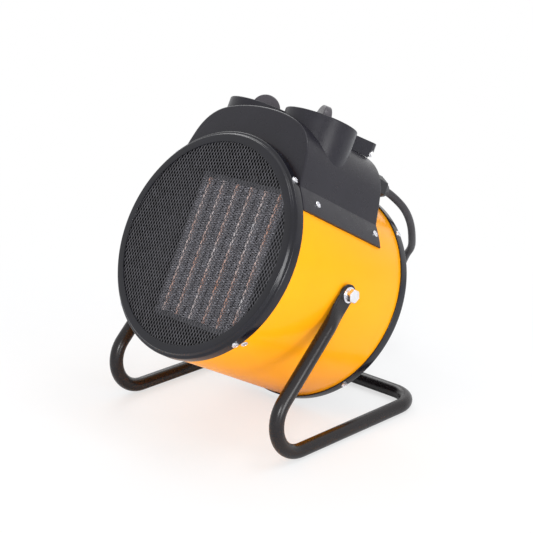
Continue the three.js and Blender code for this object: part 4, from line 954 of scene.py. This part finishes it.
def stand_route():
    """(place, way) down the right leg, round its bend, along the floor and back up the left side."""
    turn = math.pi - math.atan2(PIVOT_H - LINE_Z, -STAND_FRONT)
    bend_y = STAND_FRONT + BEND_FRONT * math.tan(turn / 2)
    bend_z = LINE_Z + BEND_FRONT
    rear_x, rear_y = STAND_HALF - BEND_BACK, STAND_BACK - BEND_BACK
    stations = [-TAB_R * math.cos(math.radians(t)) for t in TAB_STATIONS]
    stations += [TAB_FLAT * k / 3 for k in (1, 2, 3)]
    stations += [TAB_FLAT + TAB_TAPER * k / 10 for k in range(1, 11)]
    half = [((STAND_HALF, LEG[0] * s, PIVOT_H + LEG[1] * s), (0, *LEG)) for s in stations]
    for a in (-turn * (1 - k / 20) for k in range(21)):
        half.append(((STAND_HALF, bend_y + BEND_FRONT * math.sin(a), bend_z - BEND_FRONT * math.cos(a)),
                     (0, math.cos(a), math.sin(a))))
    for a in quarter(18):
        half.append(((rear_x + BEND_BACK * math.cos(a), rear_y + BEND_BACK * math.sin(a), LINE_Z),
                     (-math.sin(a), math.cos(a), 0)))
    other = [((-p[0], p[1], p[2]), (w[0], -w[1], -w[2])) for p, w in reversed(half)]
    return [(Vector(p), Vector(w).normalized()) for p, w in half + other]


def tube_section(p, way):
    """Round section whose first side points away from the drum or, on the cross tube, to the rear."""
    outward = way.cross(Vector((0, 0, 1)))
    if abs(way.z) > 0.2:
        outward = Vector((math.copysign(1, p.x), 0, 0))
    outward = (outward - way * outward.dot(way)).normalized()
    return circle(p, outward, way.cross(outward), LINE_Z, 32)


def press_tab(section, s, side):
    """Flatten a leg's section near the pivot, towards the drum, and ease back to the round tube."""
    round_share = smoothstep((s - TAB_FLAT) / TAB_TAPER)
    width = math.sqrt(max(0.3, TAB_R ** 2 - s * s)) if s < 0 else TAB_R
    pressed = []
    for v in section:
        n = -v.y * LEG[1] + (v.z - PIVOT_H) * LEG[0]
        out = v.x * side - STAND_HALF
        ratio = max(-1, min(1, n / LINE_Z))
        edge = min(1, (1 - abs(ratio)) * 7) ** 0.5     # rounds the flat's two edges
        flat_n = width * ratio
        flat_x = math.copysign(TAB_T / 2 * edge, out) - TAB_SHIFT
        n = flat_n + (n - flat_n) * round_share
        x = flat_x + (out - flat_x) * round_share
        pressed.append((side * (STAND_HALF + x), LEG[0] * s - LEG[1] * n,
                        PIVOT_H + LEG[1] * s + LEG[0] * n))
    return pressed


def make_stand():
    """One bent tube with a flat pressed at each end."""
    sections = []
    for p, way in stand_route():
        section = tube_section(p, way)
        s = p.y * LEG[0] + (p.z - PIVOT_H) * LEG[1]
        if p.z > PIVOT_H / 2 and s < TAB_FLAT + TAB_TAPER - 0.01:
            section = press_tab(section, s, math.copysign(1, p.x))
        sections.append(section)
    show("stand_tube", to_mesh("stand_tube", loft(sections), FLOOR), "stand", TUBE_PAINT,
         "stand_frame", slot="black_paint", angle=50)


make_stand()

# ------------------------------------------------------------------ CAD nodes kept with finer edges
KEPT = {                       # node: material, width of its rounded edges
    "rear_guard": (RING, 0.12), "rear_grip": (HOOD, 0.9), "wire_eye": (ZINC, 0),
    "cord_gland": (NYLON, 0.4), "gland_lock_nut": (NYLON, 0.3), "gland_dome_nut": (NYLON, 0.5),
    "gland_seal": (RUBBER, 0), "thermostat_shaft": (STEEL, 0.2), "selector_shaft": (STEEL, 0.2),
    "thermostat_body": (CERAMIC, 0.5), "selector_switch": (NYLON, 0.5),
    "terminal_block": (NYLON, 0.4), "element_frame": (FRAME, 0.2),
    "side_baffle_left": (DARK_STEEL, 0), "side_baffle_right": (DARK_STEEL, 0),
    "upper_rail": (DARK_STEEL, 0.2), "lower_rail": (DARK_STEEL, 0.2),
    "thermal_cutout": (NYLON, 0.3), "fan_motor": (STEEL, 0.6), "motor_bracket": (DARK_STEEL, 0.2),
    "motor_shaft": (STEEL, 0.3), "hub_nut": (ZINC, 0.3), "fan_impeller": (ALUMINIUM, 0.3),
    "coil_tie": (NYLON, 0.2), "plug_relief": (RUBBER, 0.4), "plug_body": (RUBBER, 0.8),
    "plug_pin_a": (ZINC, 0.3), "plug_pin_b": (ZINC, 0.3),
}
BOTH_SIDES = {
    "spacer": (NYLON, 0.2), "washer": (ZINC, 0.25), "spring_washer": (ZINC, 0.25),
    "pivot_bolt": (ZINC, 0.5), "weld_nut": (STEEL, 0.3),
}


def dress_kept_nodes():
    """Material and rounded edges for the CAD nodes that no piece stands for."""
    finishes = dict(KEPT)
    for word in ("left", "right"):
        finishes.update({f"{name}_{word}": finish for name, finish in BOTH_SIDES.items()})
    for node, (material, edge) in finishes.items():
        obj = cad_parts[node]
        for material_slot in obj.material_slots:
            material_slot.material = material
        if edge:
            soften(obj, edge)


dress_kept_nodes()


# ------------------------------------------------------------------ floor and lamps
def make_floor():
    """Pale floor: the camera sees it lighter than it is lit, and pure white away from the part."""
    bm = bmesh.new()
    bmesh.ops.create_grid(bm, x_segments=1, y_segments=1, size=FLOOR_HALF)
    mesh = bpy.data.meshes.new("floor")
    bm.to_mesh(mesh)
    bm.free()
    floor = bpy.data.objects.new("floor", mesh)
    floor.location.z = -FLOOR_DROP
    bpy.context.scene.collection.objects.link(floor)
    mat = surface("floor_paper", (0.93, 0.93, 0.93), 0.9, tint=0.005, grain=0.02,
                  Specular_IOR_Level=0.0)
    mesh.materials.append(mat)
    nodes, links = mat.node_tree.nodes, mat.node_tree.links
    white = nodes.new("ShaderNodeEmission")
    mix = nodes.new("ShaderNodeMixShader")
    path = nodes.new("ShaderNodeLightPath")
    place = nodes.new("ShaderNodeTexCoord")
    run = nodes.new("ShaderNodeVectorMath")
    run.operation = "LENGTH"
    fade = nodes.new("ShaderNodeMapRange")
    fade.interpolation_type = "SMOOTHSTEP"
    fade.inputs["From Min"].default_value = FLOOR_NEAR
    fade.inputs["From Max"].default_value = FLOOR_FAR
    fade.inputs["To Min"].default_value = FLOOR_LIFT
    seen = nodes.new("ShaderNodeMath")
    seen.operation = "MULTIPLY"
    links.new(place.outputs["Object"], run.inputs[0])
    links.new(run.outputs["Value"], fade.inputs["Value"])
    links.new(fade.outputs[0], seen.inputs[0])
    links.new(path.outputs["Is Camera Ray"], seen.inputs[1])
    links.new(seen.outputs[0], mix.inputs["Fac"])
    links.new(nodes["Principled BSDF"].outputs[0], mix.inputs[1])
    links.new(white.outputs[0], mix.inputs[2])
    links.new(mix.outputs[0], nodes["Material Output"].inputs["Surface"])


def make_lamp(name, place, target, size, power):
    """Rectangular lamp at a place, turned to a target."""
    data = bpy.data.lights.new(name, "AREA")
    data.shape = "RECTANGLE"
    data.size, data.size_y = size
    data.energy = power
    obj = bpy.data.objects.new(name, data)
    way = Vector(target) - Vector(place)
    obj.matrix_world = Matrix.Translation(place) @ way.to_track_quat("-Z", "Y").to_matrix().to_4x4()
    bpy.context.scene.collection.objects.link(obj)


make_floor()
for lamp in LAMPS:
    make_lamp(*lamp)
